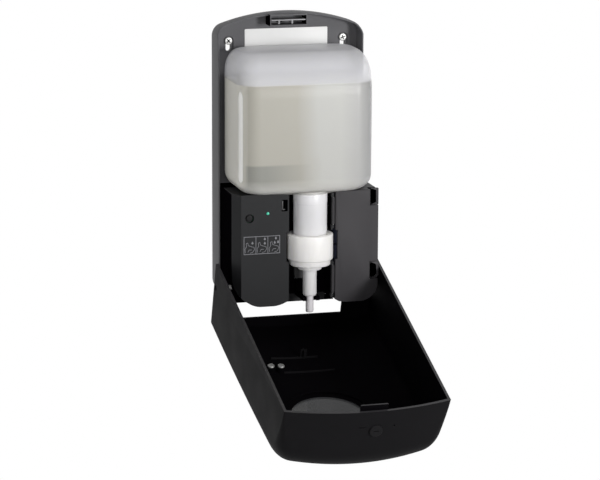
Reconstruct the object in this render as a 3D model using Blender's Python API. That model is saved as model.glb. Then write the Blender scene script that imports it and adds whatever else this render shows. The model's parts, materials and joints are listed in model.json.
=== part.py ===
"""Wall-mounted touch-free foam soap dispenser with its front cover swung open.

Metres, +Z up. The back of the plate lies in the plane y = 0 and the front faces -Y.
The origin is the centre of the plate's back. In the values below a height is
measured up from the plate's bottom edge, a front distance forwards from the wall,
and a side distance from the plate's centre line, positive to the right.
"""
from math import atan2, cos, pi, radians, sin, sqrt, tau

import bmesh
import bpy
from mathutils import Matrix, Vector

# Fits and overruns
GAP = 0.0003
RUNNING_GAP = 0.0005
OVERRUN = 0.004

# Walls and floors that the stacks below are built on
PLATE_HEIGHT = 0.265
PLATE_DEPTH = 0.0264
PLATE_WALL = 0.0025
PLATE_FLOOR_FRONT = 0.0059
CHASSIS_WALL = 0.0015
HOUSING_WALL = 0.0018
DOOR_THICKNESS = 0.0024

# Cells
CELL_RADIUS = 0.0129
CELL_LENGTH = 0.0472
CELL_NUB_RADIUS = 0.0036
CELL_NUB_HEIGHT = 0.0014
CELL_GAP = 0.0002
CONTACT_THICKNESS = 0.0004

# Stack across: the pump's channel, the cells, and the room beside them
PUMP_SIDE = 0.0065
CHANNEL_LEFT_REACH = 0.0207
CHANNEL_RIGHT_REACH = 0.0200
CELL_SIDE_ROOM = 0.0035
PLATE_SIDE_ROOM = 0.0121
HOUSING_INSET = 0.0037
HOUSING_OVERHANG = 0.0019
CHANNEL_LEFT = PUMP_SIDE - CHANNEL_LEFT_REACH
CHANNEL_RIGHT = PUMP_SIDE + CHANNEL_RIGHT_REACH
CELL_SIDE = CHANNEL_RIGHT + HOUSING_WALL + CELL_SIDE_ROOM + CELL_RADIUS
PLATE_HALF_WIDTH = CELL_SIDE + CELL_RADIUS + PLATE_SIDE_ROOM
HOUSING_LEFT = HOUSING_INSET - PLATE_HALF_WIDTH
HOUSING_RIGHT = PLATE_HALF_WIDTH + HOUSING_OVERHANG

# Stack upwards: two cells on end between their contacts, under the bottle
HOUSING_TOP_STEP = 0.0002
BOTTLE_CLEARANCE = 0.0007
CELL_FLOOR = PLATE_WALL + 2 * GAP + CHASSIS_WALL
CELL_PITCH = CELL_LENGTH + CELL_NUB_HEIGHT + CELL_GAP
CELL_STACK_TOP = CELL_FLOOR + 2 * CONTACT_THICKNESS + CELL_GAP + 2 * CELL_PITCH
CHASSIS_TOP = CELL_STACK_TOP + 2 * GAP + CHASSIS_WALL
HOUSING_TOP = CHASSIS_TOP + HOUSING_TOP_STEP
BOTTLE_BOTTOM = HOUSING_TOP + BOTTLE_CLEARANCE

# Stack forwards: floor, chassis, two cells and the door
CELL_BACK_ROOM = 0.0059
CELL_FRONT_ROOM = 0.0030
HOUSING_BACK = 0.0300
CELL_BACK_FRONT = PLATE_FLOOR_FRONT + GAP + CHASSIS_WALL + CELL_BACK_ROOM + CELL_RADIUS
HOUSING_FRONT = CELL_BACK_FRONT + 3 * CELL_RADIUS + RUNNING_GAP + CELL_FRONT_ROOM + DOOR_THICKNESS

# Back plate
PLATE_ARCH_RADIUS = 0.191
PLATE_TOP_CORNER = 0.012
PLATE_BOTTOM_CORNER = 0.014
PLATE_RECESS_DEPTH = 0.0032
PLATE_RECESS_HALF_WIDTH = 0.044
PLATE_BAND_HALF_HEIGHT = 0.030
PLATE_RECESS_MARGIN = 0.020
PLATE_EDGE_ROUND = 0.0008

# Keyholes and wall screws
SCREW_INSET = 0.0147
SCREW_DROP = 0.0258
SCREW_SIDE = PLATE_HALF_WIDTH - SCREW_INSET
SCREW_HEIGHT = PLATE_HEIGHT - SCREW_DROP
SCREW_HEAD_RADIUS = 0.0036
SCREW_HEAD_HEIGHT = 0.0022
SCREW_SHANK_RADIUS = 0.0019
SCREW_CROSS_WIDTH = 0.0009
SCREW_CROSS_LENGTH = 0.0044
SCREW_CROSS_DEPTH = 0.0012
KEYHOLE_DROP = 0.0078
KEYHOLE_RADIUS = 0.0043
KEYHOLE_RECESS_RADIUS = 0.0055
KEYHOLE_RECESS_DEPTH = 0.0016

# Latch pocket at the top of the plate and its sprung catch
LATCH_SIDE = 0.0017
LATCH_HALF_WIDTH = 0.0166
LATCH_DROP = 0.0150
LATCH_BOTTOM = PLATE_HEIGHT - LATCH_DROP
LATCH_HEIGHT = 0.0124
LATCH_DEPTH = 0.0105
LATCH_WALL = 0.0014
LATCH_SLOT_WIDTH = 0.0046
LATCH_SLOT_OFFSET = 0.0012
CATCH_THICKNESS = 0.0028
CATCH_LIFT = 0.0049
CATCH_TRAVEL = 0.0025
CATCH_NOSE = 0.0052
CATCH_POST_RADIUS = 0.0011
CATCH_POST_SPREAD = 0.0062

# Bare label plate under the latch
LABEL_HALF_WIDTH = 0.0398
LABEL_DROP = 0.0211
LABEL_BOTTOM = LATCH_BOTTOM - LABEL_DROP
LABEL_HEIGHT = 0.0204
LABEL_THICKNESS = 0.0005

# Housing that holds the drive, the board and the cells
CHAMFER_WIDTH = 0.0065
CHAMFER_DEPTH = 0.0105
HOUSING_CORNER = 0.0120
LOBE_INSET = 0.0200
LOBE_WIDTH = 0.0220
LOBE_LEFT = HOUSING_LEFT + LOBE_INSET
LOBE_RIGHT = LOBE_LEFT + LOBE_WIDTH
LOBE_BEND_SHARE = 1 / 3
LOBE_SAG_SHARE = 0.72
LOBE_TURN_SHARES = (0.125, 0.25, 0.375)
LOBE_SHOULDER_HEIGHT = 0.0340
CHANNEL_FOOT = 0.0046
DOOR_FOOT_SIDE = 0.0390

# Pump, turned on its own vertical axis
PUMP_FRONT = 0.0683
NECK_RADIUS = 0.01565
NECK_WALL = 0.0013
COLLAR_RADIUS = 0.02136
COLLAR_TOP = 0.0670
COLLAR_BOTTOM = 0.0432
COLLAR_WALL = 0.0020
RING_RADIUS = 0.0190
RING_BOTTOM = 0.0376
FLANGE_RADIUS = 0.0110
FLANGE_BOTTOM = 0.0332
STEM_RADIUS = 0.0064
STEM_BOTTOM = 0.0080
STEM_BORE = 0.0022
STEM_FOOT_RADIUS = 0.0056
NOZZLE_RADIUS = 0.0037
NOZZLE_BOTTOM = -0.0080
NOZZLE_SPIGOT = 0.0040
CYLINDER_RADIUS = 0.0130
CYLINDER_WALL = 0.0014
CYLINDER_DROP = 0.0062
CYLINDER_TOP = BOTTLE_BOTTOM - CYLINDER_DROP
CYLINDER_FLOOR = 0.0020
PISTON_HEIGHT = 0.0060
STROKE = 0.0110
GASKET_THICKNESS = 0.0012
VALVE_BALL_RADIUS = 0.0024
INLET_RADIUS = 0.0018

# Open channel for the pump, notched round the collar
COLLAR_BACK_ROOM = 0.00254
COLLAR_NOTCH_CLEARANCE = 0.0018
CHANNEL_BACK = PUMP_FRONT - COLLAR_RADIUS - COLLAR_BACK_ROOM

# Bottle
BOTTLE_SIDE_ROOM = 0.0059
BOTTLE_TOP_GAP = 0.0115
BOTTLE_HALF_WIDTH = PLATE_HALF_WIDTH - BOTTLE_SIDE_ROOM
BOTTLE_BACK = 0.0096
BOTTLE_FRONT = 0.0884
BOTTLE_TOP = LATCH_BOTTOM - BOTTLE_TOP_GAP
BOTTLE_CORNER = 0.0190
BOTTLE_WALL = 0.0012
BOTTLE_SHOULDER = 0.0210
BOTTLE_HEEL = 0.0130
SOAP_DROP = 0.0303
SOAP_LEVEL = BOTTLE_TOP - SOAP_DROP
SHOULDER_DRAW_SHARE = 0.60
SHOULDER_SWEEP_SHARE = 0.94
NECK_BOTTOM = 0.0475

# Buttons, lens and guide on the housing's left face
BUTTON_INSET = 0.0144
BUTTON_SIDE = HOUSING_LEFT + BUTTON_INSET
BUTTON_DROP = 0.0217
BUTTON_HEIGHT = HOUSING_TOP - BUTTON_DROP
BUTTON_RADIUS = 0.0029
BUTTON_RECESS = 0.0006
BUTTON_TRAVEL = 0.0010
BUTTON_FLANGE = 0.0010
LED_INSET = 0.0318
LED_SIDE = HOUSING_LEFT + LED_INSET
LED_DROP = 0.0178
LED_HEIGHT = HOUSING_TOP - LED_DROP
LED_RADIUS = 0.0013
GUIDE_INSET = 0.0088
GUIDE_LEFT = HOUSING_LEFT + GUIDE_INSET
GUIDE_BOTTOM = 0.0501
GUIDE_WIDTH = 0.0344
GUIDE_HEIGHT = 0.0168
GUIDE_THICKNESS = 0.0004
CLIP_SLOT_INSET = 0.0070
CLIP_SLOT_LEFT = CHANNEL_LEFT - CLIP_SLOT_INSET
CLIP_SLOT_WIDTH = 0.0050
CLIP_SLOT_DROP = 0.0161
CLIP_SLOT_BOTTOM = HOUSING_TOP - CLIP_SLOT_DROP
CLIP_SLOT_HEIGHT = 0.0100
CLIP_THICKNESS = 0.0016

# Circuit board and sensor
BOARD_THICKNESS = 0.0016
BOARD_LEFT_INSET = 0.0100
BOARD_RIGHT_INSET = 0.0058
BOARD_LEFT = HOUSING_LEFT + BOARD_LEFT_INSET
BOARD_RIGHT = CHANNEL_LEFT - BOARD_RIGHT_INSET
BOARD_BOTTOM = 0.0440
BOARD_DROP = 0.0095
BOARD_TOP = HOUSING_TOP - BOARD_DROP
SWITCH_HEIGHT = 0.0006
BOARD_POST_INSET = 0.0030
BOARD_POST_RADIUS = 0.0016
SENSOR_BACK = 0.0440
SENSOR_FRONT = 0.0640
SENSOR_MARGIN = 0.0020
SENSOR_THICKNESS = 0.0016
SENSOR_BOARD_GAP = 0.0060
SENSOR_EYE_SHARES = (0.28, 0.72)
SENSOR_EYE_RADIUS = 0.0026

# Door of the cell bay
DOOR_HINGE_INSET = 0.0015
DOOR_LEAF = 0.0016
DOOR_HINGE_SIDE = CHANNEL_RIGHT + DOOR_HINGE_INSET
DOOR_LEFT = DOOR_HINGE_SIDE + DOOR_LEAF
DOOR_BARREL_RADIUS = 0.00125
DOOR_PIN_RADIUS = 0.00055
DOOR_BARREL_SETBACK = 0.0012
DOOR_EAR_LENGTH = 0.0030
DOOR_NOTCH_MARGIN = 0.0022
DOOR_NOTCH_WIDTH = 0.0022
CLASP_DROP = 0.0070
CLASP_UPPER = HOUSING_TOP - CLASP_DROP
CLASP_LOWER = 0.0290
CLASP_NOTCH_WIDTH = 0.0078
CLASP_NOTCH_HEIGHT = 0.0130
CLASP_REACH = 0.0016
CLASP_GAP = 0.0006
CLASP_BAR = 0.0020
CLASP_ARM = 0.0016

# Gear train: heights and fronts of the three axes, all along X
MODULE_RACK = 0.0010
MODULE_TRAIN = 0.0008
RACK_PINION_TEETH = 10
PINION_TEETH = 10
WHEEL_TEETH = 30
TRAIN_FRONT = 0.0275
DRIVE_HEIGHT = 0.0300
GEAR_WIDTH = 0.0040
GEAR_SPACING = 0.0060
DRIVE_PLANE = -0.0060
RACK_PLANE = 0.0040
RACK_WIDTH = 0.0050
SHAFT_RADIUS = 0.00125
FRAME_WALL = 0.0015
FRAME_LEFT = -0.0155
FRAME_RIGHT = 0.0160
FRAME_BACK = 0.0100
FRAME_BOTTOM = 0.0120
FRAME_TOP = 0.0760
FRAME_FRONT = 0.0350
MOTOR_RADIUS = 0.0118
MOTOR_LENGTH = 0.0300
MOTOR_BOSS_RADIUS = 0.0030
MOTOR_BOSS_LENGTH = 0.0010
MOTOR_SHAFT_RADIUS = 0.0010
ADDENDUM_SHARE = 0.80
DEDENDUM_SHARE = 1.15
TOOTH_ROOT_SHARE = 0.52
TOOTH_TIP_SHARE = 0.22

# Lift carriage and its fork
CARRIAGE_HALF_WIDTH = 0.0092
CARRIAGE_BOTTOM = 0.0200
CARRIAGE_TOP = 0.0309
CARRIAGE_THICKNESS = 0.0040
RACK_TEETH = 8
RACK_BACKING = 0.0030
FORK_THICKNESS = 0.0036
FORK_HALF_WIDTH = 0.0080
FORK_REACH = 0.0065
FORK_SLOT_RADIUS = 0.0044

# Front cover, described closed, with a height up from its own lower edge
COVER_WALL = 0.0024
COVER_FOOT = 0.0090
COVER_SIDE_CLEARANCE = 0.0019
COVER_FRONT_CLEARANCE = 0.0028
COVER_TAPER = 0.0030
COVER_TOP_STEP = 0.0098
COVER_ARCH = 0.0098
COVER_HALF_WIDTH_FOOT = HOUSING_RIGHT + CLASP_REACH + COVER_SIDE_CLEARANCE + COVER_WALL
COVER_HALF_WIDTH_TOP = COVER_HALF_WIDTH_FOOT - COVER_TAPER
COVER_SIDE_HEIGHT = PLATE_HEIGHT - COVER_FOOT - COVER_TOP_STEP
COVER_DEPTH = BOTTLE_FRONT + COVER_FRONT_CLEARANCE + COVER_WALL - PLATE_DEPTH - RUNNING_GAP
COVER_BULGE = 0.0070
COVER_TOP_DROP = 0.0130
COVER_TOP_ROUND = 0.0300
COVER_EDGE_ROUND = 0.0090
COVER_STATIONS = 12
COVER_NOTCH_HALF_WIDTH = 0.0468
COVER_NOTCH_FRONT = 0.0604
COVER_LEDGE_START = 0.0492
COVER_OPEN_ANGLE = radians(108.4)
PIVOT_FRONT = 0.0494
PIVOT_HEIGHT = 0.0152
HINGE_PIN_RADIUS = 0.0024
HINGE_PIN_REACH = 0.0060
HINGE_BOSS_RADIUS = 0.0052

# Sight window, lock and small fittings of the cover
WINDOW_RADIUS = 0.0350
WINDOW_DROP = 0.0872
WINDOW_CENTRE = COVER_SIDE_HEIGHT - WINDOW_DROP
WINDOW_SEAT = 0.0008
WINDOW_THICKNESS = 0.0014
WINDOW_RING_RADIUS = 0.0400
WINDOW_RING_HEIGHT = 0.0022
TONGUE_HALF_WIDTH = 0.0160
TONGUE_REACH = 0.0068
TONGUE_ROOT = 0.0044
TONGUE_THICKNESS = 0.0014
TONGUE_ROOT_THICKNESS = 0.0018
LOCK_SIDE = 0.0060
LOCK_DEPTH = 0.0221
LOCK_RADIUS = 0.0058
LOCK_HEAD = 0.0006
LOCK_BODY_LENGTH = 0.0095
LOCK_SLOT_WIDTH = 0.0012
LOCK_SLOT_DEPTH = 0.0010
LOCK_SLOT_SHARE = 0.7
LOCK_CAM_LENGTH = 0.0110
LOCK_CAM_THICKNESS = 0.0014
LOCK_POST_RADIUS = 0.0020
RIB_HEIGHTS = (0.0590, 0.0830)
RIB_THICKNESS = 0.0014
RIB_RISE = 0.0016
RIB_HALF_WIDTH = 0.0240
MAGNET_HEIGHT = 0.0790
MAGNET_SIDES = (-0.0402, -0.0306)
MAGNET_RADIUS = 0.0032
MAGNET_THICKNESS = 0.0018
MAGNET_BOSS_RADIUS = 0.0044
MAGNET_BOSS_HEIGHT = 0.0050
MAGNET_SINK = 0.0010

# Steps of round forms
ROUND_STEPS = 32
FINE_STEPS = 20
POST_STEPS = 12
BOSS_STEPS = 42
HOLE_STEPS = 38
ARCH_STEPS = 16
SLOT_STEPS = 10
CORNER_STEPS = 6
LOOP_STEPS = 4
LOOP_END_STEPS = 8
RIB_STEPS = 12
HEEL_RINGS = 5
SHOULDER_RINGS = 8
COVER_TOP_STEPS = 8
BALL_SEGMENTS = 14
BALL_RINGS = 8


def level(height):
    """World Z of a height above the plate's bottom edge."""
    return height - PLATE_HEIGHT / 2


def material(name, colour, roughness, metallic=0.0):
    """A plain Principled material, made once for each name."""
    found = bpy.data.materials.get(name)
    if found:
        return found
    made = bpy.data.materials.new(name)
    made.use_nodes = True
    shader = made.node_tree.nodes["Principled BSDF"]
    shader.inputs["Base Color"].default_value = (*colour, 1.0)
    shader.inputs["Roughness"].default_value = roughness
    shader.inputs["Metallic"].default_value = metallic
    return made


def charcoal():
    return material("charcoal_plastic", (0.10, 0.10, 0.105), 0.45)


def black():
    return material("black_plastic", (0.02, 0.02, 0.022), 0.5)


def white():
    return material("white_plastic", (0.85, 0.84, 0.80), 0.4)


def steel():
    return material("zinc_steel", (0.62, 0.62, 0.60), 0.35, 1.0)


def grey():
    return material("grey_acetal", (0.38, 0.38, 0.39), 0.5)


def build(name, mesh_maker, finish, pivot=None):
    """Make an object from a bmesh filler; its origin goes to the pivot if it has one."""
    shape = bmesh.new()
    mesh_maker(shape)
    bmesh.ops.recalc_face_normals(shape, faces=shape.faces)
    mesh = bpy.data.meshes.new(name)
    shape.to_mesh(mesh)
    shape.free()
    made = bpy.data.objects.new(name, mesh)
    bpy.context.scene.collection.objects.link(made)
    if finish:
        mesh.materials.append(finish)
    if pivot:
        mesh.transform(Matrix.Translation(-pivot))
        made.location = pivot
    return made


def smooth(item, angle=radians(35)):
    """Shade round surfaces smooth and keep their corners sharp."""
    item.data.shade_smooth()
    item.data.set_sharp_from_angle(angle=angle)
    return item


def hide(item):
    """Turn an object into a tool of a Boolean."""
    item.hide_render = True
    item.display_type = "WIRE"
    return item


def combine(target, tool, operation):
    """Keep a live Boolean of the tool on the target."""
    hide(tool)
    step = target.modifiers.new(f"{operation.lower()}_{tool.name}", "BOOLEAN")
    step.operation = operation
    step.solver = "EXACT"
    step.object = tool
    return target


def cut(target, tool):
    return combine(target, tool, "DIFFERENCE")


def join(target, tool):
    return combine(target, tool, "UNION")


def round_edges(item, width, angle=radians(50)):
    """A small live bevel on the sharp edges."""
    step = item.modifiers.new("edge_round", "BEVEL")
    step.width = width
    step.segments = 2
    step.limit_method = "ANGLE"
    step.angle_limit = angle
    return item


def arc(centre, radius, start, end, steps):
    """Points along an arc of a circle in the plane of an outline."""
    turn = (end - start) / steps
    return [
        (centre[0] + radius * cos(start + turn * step), centre[1] + radius * sin(start + turn * step))
        for step in range(steps + 1)
    ]


def prism(outline, back, front):
    """Filler that extrudes an outline of side and world height from back to front."""
    def fill(shape):
        rear = [shape.verts.new((side, -back, height)) for side, height in outline]
        near = [shape.verts.new((side, -front, height)) for side, height in outline]
        shape.faces.new(rear)
        shape.faces.new(list(reversed(near)))
        for index in range(len(outline)):
            after = (index + 1) % len(outline)
            shape.faces.new((rear[index], rear[after], near[after], near[index]))
    return fill


def block(left, right, back, front, bottom, top):
    """Filler for a box between side, front and height limits."""
    return prism([(left, level(bottom)), (right, level(bottom)), (right, level(top)), (left, level(top))],
                 back, front)


def turned(profile, centre, direction="Z", steps=ROUND_STEPS):
    """Filler that turns a profile of radius and distance about an axis through the centre.

    A profile that starts and ends at radius zero gives a solid piece. Any other
    profile is closed on itself, which gives a piece with a bore.
    """
    solid = profile[0][0] == 0 and profile[-1][0] == 0

    def point(radius, along, angle):
        across, over = radius * cos(angle), radius * sin(angle)
        if direction == "Z":
            return centre + Vector((across, over, along))
        if direction == "X":
            return centre + Vector((along, across, over))
        return centre + Vector((across, -along, over))

    def fill(shape):
        rings = []
        for radius, along in profile:
            if radius == 0:
                rings.append([shape.verts.new(point(radius, along, 0))])
            else:
                rings.append([shape.verts.new(point(radius, along,
                                                    tau * step / steps)) for step in range(steps)])
        pairs = list(zip(rings, rings[1:]))
        if not solid:
            pairs.append((rings[-1], rings[0]))
        for lower, upper in pairs:
            for step in range(steps):
                after = (step + 1) % steps
                corners = [lower[step % len(lower)], lower[after % len(lower)],
                           upper[after % len(upper)], upper[step % len(upper)]]
                unique = list(dict.fromkeys(corners))
                if len(unique) > 2:
                    shape.faces.new(unique)
    return fill


def rod(radius, start, end):
    """Profile of a plain round bar."""
    return [(0, start), (radius, start), (radius, end), (0, end)]


def tube(outer, inner, start, end):
    """Profile of a plain round tube."""
    return [(outer, start), (outer, end), (inner, end), (inner, start)]


def rounded_box_ring(half_width, back, front, corner, height, steps=CORNER_STEPS):
    """A ring of points round a rounded rectangle seen from above."""
    points = []
    centres = ((half_width - corner, back + corner, -pi / 2), (half_width - corner, front - corner, 0),
               (corner - half_width, front - corner, pi / 2), (corner - half_width, back + corner, pi))
    for side, depth, start in centres:
        for across, over in arc((side, depth), corner, start, start + pi / 2, steps - 1):
            points.append(Vector((across, -over, level(height))))
    return points


def circle_ring(side, front, radius, height, count):
    """A ring of points round a circle, in step with rounded_box_ring."""
    steps = count // 4
    points = []
    for quarter in range(4):
        start = -pi / 2 + quarter * pi / 2
        for across, over in arc((side, front), radius, start, start + pi / 2 * (steps - 1) / steps,
                                steps - 1):
            points.append(Vector((across, -over, level(height))))
    return points


def skin(shape, rings, cap_first, cap_last):
    """Join rings of equal length into one surface."""
    loops = [[shape.verts.new(point) for point in ring] for ring in rings]
    for lower, upper in zip(loops, loops[1:]):
        for index in range(len(lower)):
            after = (index + 1) % len(lower)
            shape.faces.new((lower[index], lower[after], upper[after], upper[index]))
    if cap_first:
        shape.faces.new(list(reversed(loops[0])))
    if cap_last:
        shape.faces.new(loops[-1])
    return loops


def plate_outline(inset):
    """The plate's arched outline, moved inwards all round by the inset."""
    half = PLATE_HALF_WIDTH - inset
    arch = PLATE_ARCH_RADIUS - inset
    top_corner = PLATE_TOP_CORNER - inset
    low_corner = PLATE_BOTTOM_CORNER - inset
    bottom = level(inset)
    arch_centre = level(PLATE_HEIGHT - PLATE_ARCH_RADIUS)
    corner_side = half - top_corner
    corner_height = arch_centre + sqrt((arch - top_corner) ** 2 - corner_side ** 2)
    meet = atan2(corner_height - arch_centre, corner_side)
    points = arc((low_corner - half, bottom + low_corner), low_corner, pi, 1.5 * pi, CORNER_STEPS)
    points += arc((half - low_corner, bottom + low_corner), low_corner, 1.5 * pi, tau, CORNER_STEPS)
    points += arc((corner_side, corner_height), top_corner, 0, meet, CORNER_STEPS)
    points += arc((0, arch_centre), arch, meet, pi - meet, ARCH_STEPS)[1:-1]
    points += arc((-corner_side, corner_height), top_corner, pi - meet, pi, CORNER_STEPS)
    return points


def keyhole_outline(side, radius):
    """An upright slot with round ends, from the screw's place down to the wide hole."""
    top = (side, level(SCREW_HEIGHT))
    low = (side, level(SCREW_HEIGHT - KEYHOLE_DROP))
    return arc(top, radius, 0, pi, SLOT_STEPS) + arc(low, radius, pi, tau, SLOT_STEPS)


def back_plate():
    """Shallow tray that hangs on the wall, with keyholes and the latch pocket."""
    plate = build("back_plate", prism(plate_outline(0), 0, PLATE_DEPTH), charcoal())
    round_edges(plate, PLATE_EDGE_ROUND)
    tray = build("tray_cut", prism(plate_outline(PLATE_WALL), PLATE_FLOOR_FRONT, PLATE_DEPTH + OVERRUN),
                 None)
    cut(plate, tray)
    centre = PLATE_HEIGHT / 2
    recesses = (("upper", centre + PLATE_BAND_HALF_HEIGHT, PLATE_HEIGHT - PLATE_RECESS_MARGIN),
                ("lower", PLATE_RECESS_MARGIN, centre - PLATE_BAND_HALF_HEIGHT))
    for name, bottom, top in recesses:
        cut(plate, build(f"back_recess_{name}", block(-PLATE_RECESS_HALF_WIDTH, PLATE_RECESS_HALF_WIDTH,
                                                      -OVERRUN, PLATE_RECESS_DEPTH, bottom, top), None))
    for name, side in (("left", -SCREW_SIDE), ("right", SCREW_SIDE)):
        slot = keyhole_outline(side, SCREW_SHANK_RADIUS + RUNNING_GAP)
        cut(plate, build(f"keyhole_slot_{name}", prism(slot, -OVERRUN, PLATE_FLOOR_FRONT + OVERRUN), None))
        hole_centre = Vector((side, 0, level(SCREW_HEIGHT - KEYHOLE_DROP)))
        hole = turned(rod(KEYHOLE_RADIUS, -OVERRUN, PLATE_FLOOR_FRONT + OVERRUN), hole_centre, "Y",
                      FINE_STEPS)
        cut(plate, build(f"keyhole_{name}", hole, None))
        recess = keyhole_outline(side, KEYHOLE_RECESS_RADIUS)
        cut(plate, build(f"keyhole_recess_{name}", prism(
            recess, PLATE_FLOOR_FRONT - KEYHOLE_RECESS_DEPTH, PLATE_FLOOR_FRONT + OVERRUN), None))
    left = LATCH_SIDE - LATCH_HALF_WIDTH
    right = LATCH_SIDE + LATCH_HALF_WIDTH
    pocket_back = PLATE_FLOOR_FRONT + LATCH_WALL
    join(plate, build("latch_frame", block(left, right, PLATE_FLOOR_FRONT - LATCH_WALL,
                                           PLATE_FLOOR_FRONT + LATCH_DEPTH, LATCH_BOTTOM,
                                           LATCH_BOTTOM + LATCH_HEIGHT), None))
    cut(plate, build("latch_pocket", block(left + LATCH_WALL, right - LATCH_WALL, pocket_back,
                                           PLATE_FLOOR_FRONT + LATCH_DEPTH + OVERRUN,
                                           LATCH_BOTTOM + LATCH_WALL,
                                           LATCH_BOTTOM + LATCH_HEIGHT - LATCH_WALL), None))
    slot_right = left - LATCH_SLOT_OFFSET
    cut(plate, build("latch_slot", block(slot_right - LATCH_SLOT_WIDTH, slot_right, -OVERRUN,
                                         PLATE_FLOOR_FRONT + OVERRUN, LATCH_BOTTOM + LATCH_WALL,
                                         LATCH_BOTTOM + LATCH_HEIGHT - LATCH_WALL), None))
    return plate


def cover_catch():
    """Sprung ledge on two posts that slides down in the latch pocket."""
    side = LATCH_HALF_WIDTH - LATCH_WALL - RUNNING_GAP
    back = PLATE_FLOOR_FRONT + LATCH_WALL + RUNNING_GAP
    bottom = LATCH_BOTTOM + LATCH_WALL + CATCH_LIFT
    front = PLATE_FLOOR_FRONT + LATCH_DEPTH + CATCH_NOSE
    pivot = Vector((LATCH_SIDE, -back, level(bottom)))
    catch = build("cover_catch", block(LATCH_SIDE - side, LATCH_SIDE + side, back, front, bottom,
                                       bottom + CATCH_THICKNESS), grey(), pivot)
    post_front = back + CATCH_POST_RADIUS + RUNNING_GAP
    for name, offset in (("left", -CATCH_POST_SPREAD), ("right", CATCH_POST_SPREAD)):
        foot = Vector((LATCH_SIDE + offset, -post_front - CATCH_POST_RADIUS, level(bottom)))
        post = turned(rod(CATCH_POST_RADIUS, CATCH_TRAVEL + GAP - CATCH_LIFT, CATCH_THICKNESS / 2), foot,
                      "Z", FINE_STEPS)
        join(catch, build(f"catch_post_{name}", post, None))
    return smooth(catch)


def wall_screws():
    """Two cross-head screws that hold the plate in its keyholes."""
    seat = PLATE_FLOOR_FRONT - KEYHOLE_RECESS_DEPTH + GAP
    head = seat + SCREW_HEAD_HEIGHT
    rim = SCREW_HEAD_HEIGHT / 2
    for index, side in enumerate((-SCREW_SIDE, SCREW_SIDE), start=1):
        place = Vector((side, 0, level(SCREW_HEIGHT)))
        profile = [(0, GAP), (SCREW_SHANK_RADIUS, GAP), (SCREW_SHANK_RADIUS, seat),
                   (SCREW_HEAD_RADIUS, seat),
                   (SCREW_HEAD_RADIUS, seat + rim), (SCREW_HEAD_RADIUS - rim, head), (0, head)]
        screw = build(f"wall_screw_{index}", turned(profile, place, "Y", FINE_STEPS), steel())
        for name, wide, tall in (("upright", SCREW_CROSS_WIDTH, SCREW_CROSS_LENGTH),
                                 ("level", SCREW_CROSS_LENGTH, SCREW_CROSS_WIDTH)):
            slot = block(side - wide / 2, side + wide / 2, head - SCREW_CROSS_DEPTH, head + OVERRUN,
                         SCREW_HEIGHT - tall / 2, SCREW_HEIGHT + tall / 2)
            cut(screw, build(f"screw_{name}_slot_{index}", slot, None))
        smooth(screw)


def label_plate():
    """Bare white plate on the tray's floor."""
    back = PLATE_FLOOR_FRONT + GAP
    return build("label_plate", block(-LABEL_HALF_WIDTH, LABEL_HALF_WIDTH, back, back + LABEL_THICKNESS,
                                      LABEL_BOTTOM, LABEL_BOTTOM + LABEL_HEIGHT), white())


def chassis_outline(inset, top):
    """The chassis seen from the front: square above, rounded like the plate below."""
    half = PLATE_HALF_WIDTH - inset
    corner = PLATE_BOTTOM_CORNER - inset
    bottom = level(inset)
    points = arc((corner - half, bottom + corner), corner, pi, 1.5 * pi, CORNER_STEPS)
    points += arc((half - corner, bottom + corner), corner, 1.5 * pi, tau, CORNER_STEPS)
    points += [(half, level(top)), (-half, level(top))]
    return points


def rear_chassis():
    """Black tray that fills the gap between the plate's floor and the housing."""
    back = PLATE_FLOOR_FRONT + GAP
    front = HOUSING_BACK - GAP
    edge = PLATE_WALL + GAP
    chassis = build("rear_chassis", prism(chassis_outline(edge, CHASSIS_TOP), back, front), black())
    hollow = prism(chassis_outline(edge + CHASSIS_WALL, CHASSIS_TOP - CHASSIS_WALL), back + CHASSIS_WALL,
                   front + OVERRUN)
    cut(chassis, build("chassis_cut", hollow, None))
    return chassis


def housing_outline(inset, left_wall=0.0):
    """Front outline of the housing, moved inwards by the inset."""
    left = HOUSING_LEFT + inset + left_wall
    right = HOUSING_RIGHT - inset
    top = level(HOUSING_TOP - inset)
    foot = level(inset)
    corner = HOUSING_CORNER - inset
    shoulder = level(LOBE_SHOULDER_HEIGHT + inset)
    lobe_bend = (LOBE_LEFT - HOUSING_LEFT) * LOBE_BEND_SHARE
    points = [(left, top), (left, shoulder)]
    sag = (shoulder - foot) * LOBE_SAG_SHARE
    points += [(left + lobe_bend * (1 - cos(pi * share)), shoulder - sag * sin(pi * share))
               for share in LOBE_TURN_SHARES]
    points += [(LOBE_LEFT, foot), (LOBE_RIGHT, foot), (CHANNEL_LEFT, foot + CHANNEL_FOOT),
               (CHANNEL_RIGHT, foot + CHANNEL_FOOT), (DOOR_FOOT_SIDE, foot)]
    points += arc((right - corner, foot + corner), corner, 1.5 * pi, tau, CORNER_STEPS)
    points.append((right, top))
    return points


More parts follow.
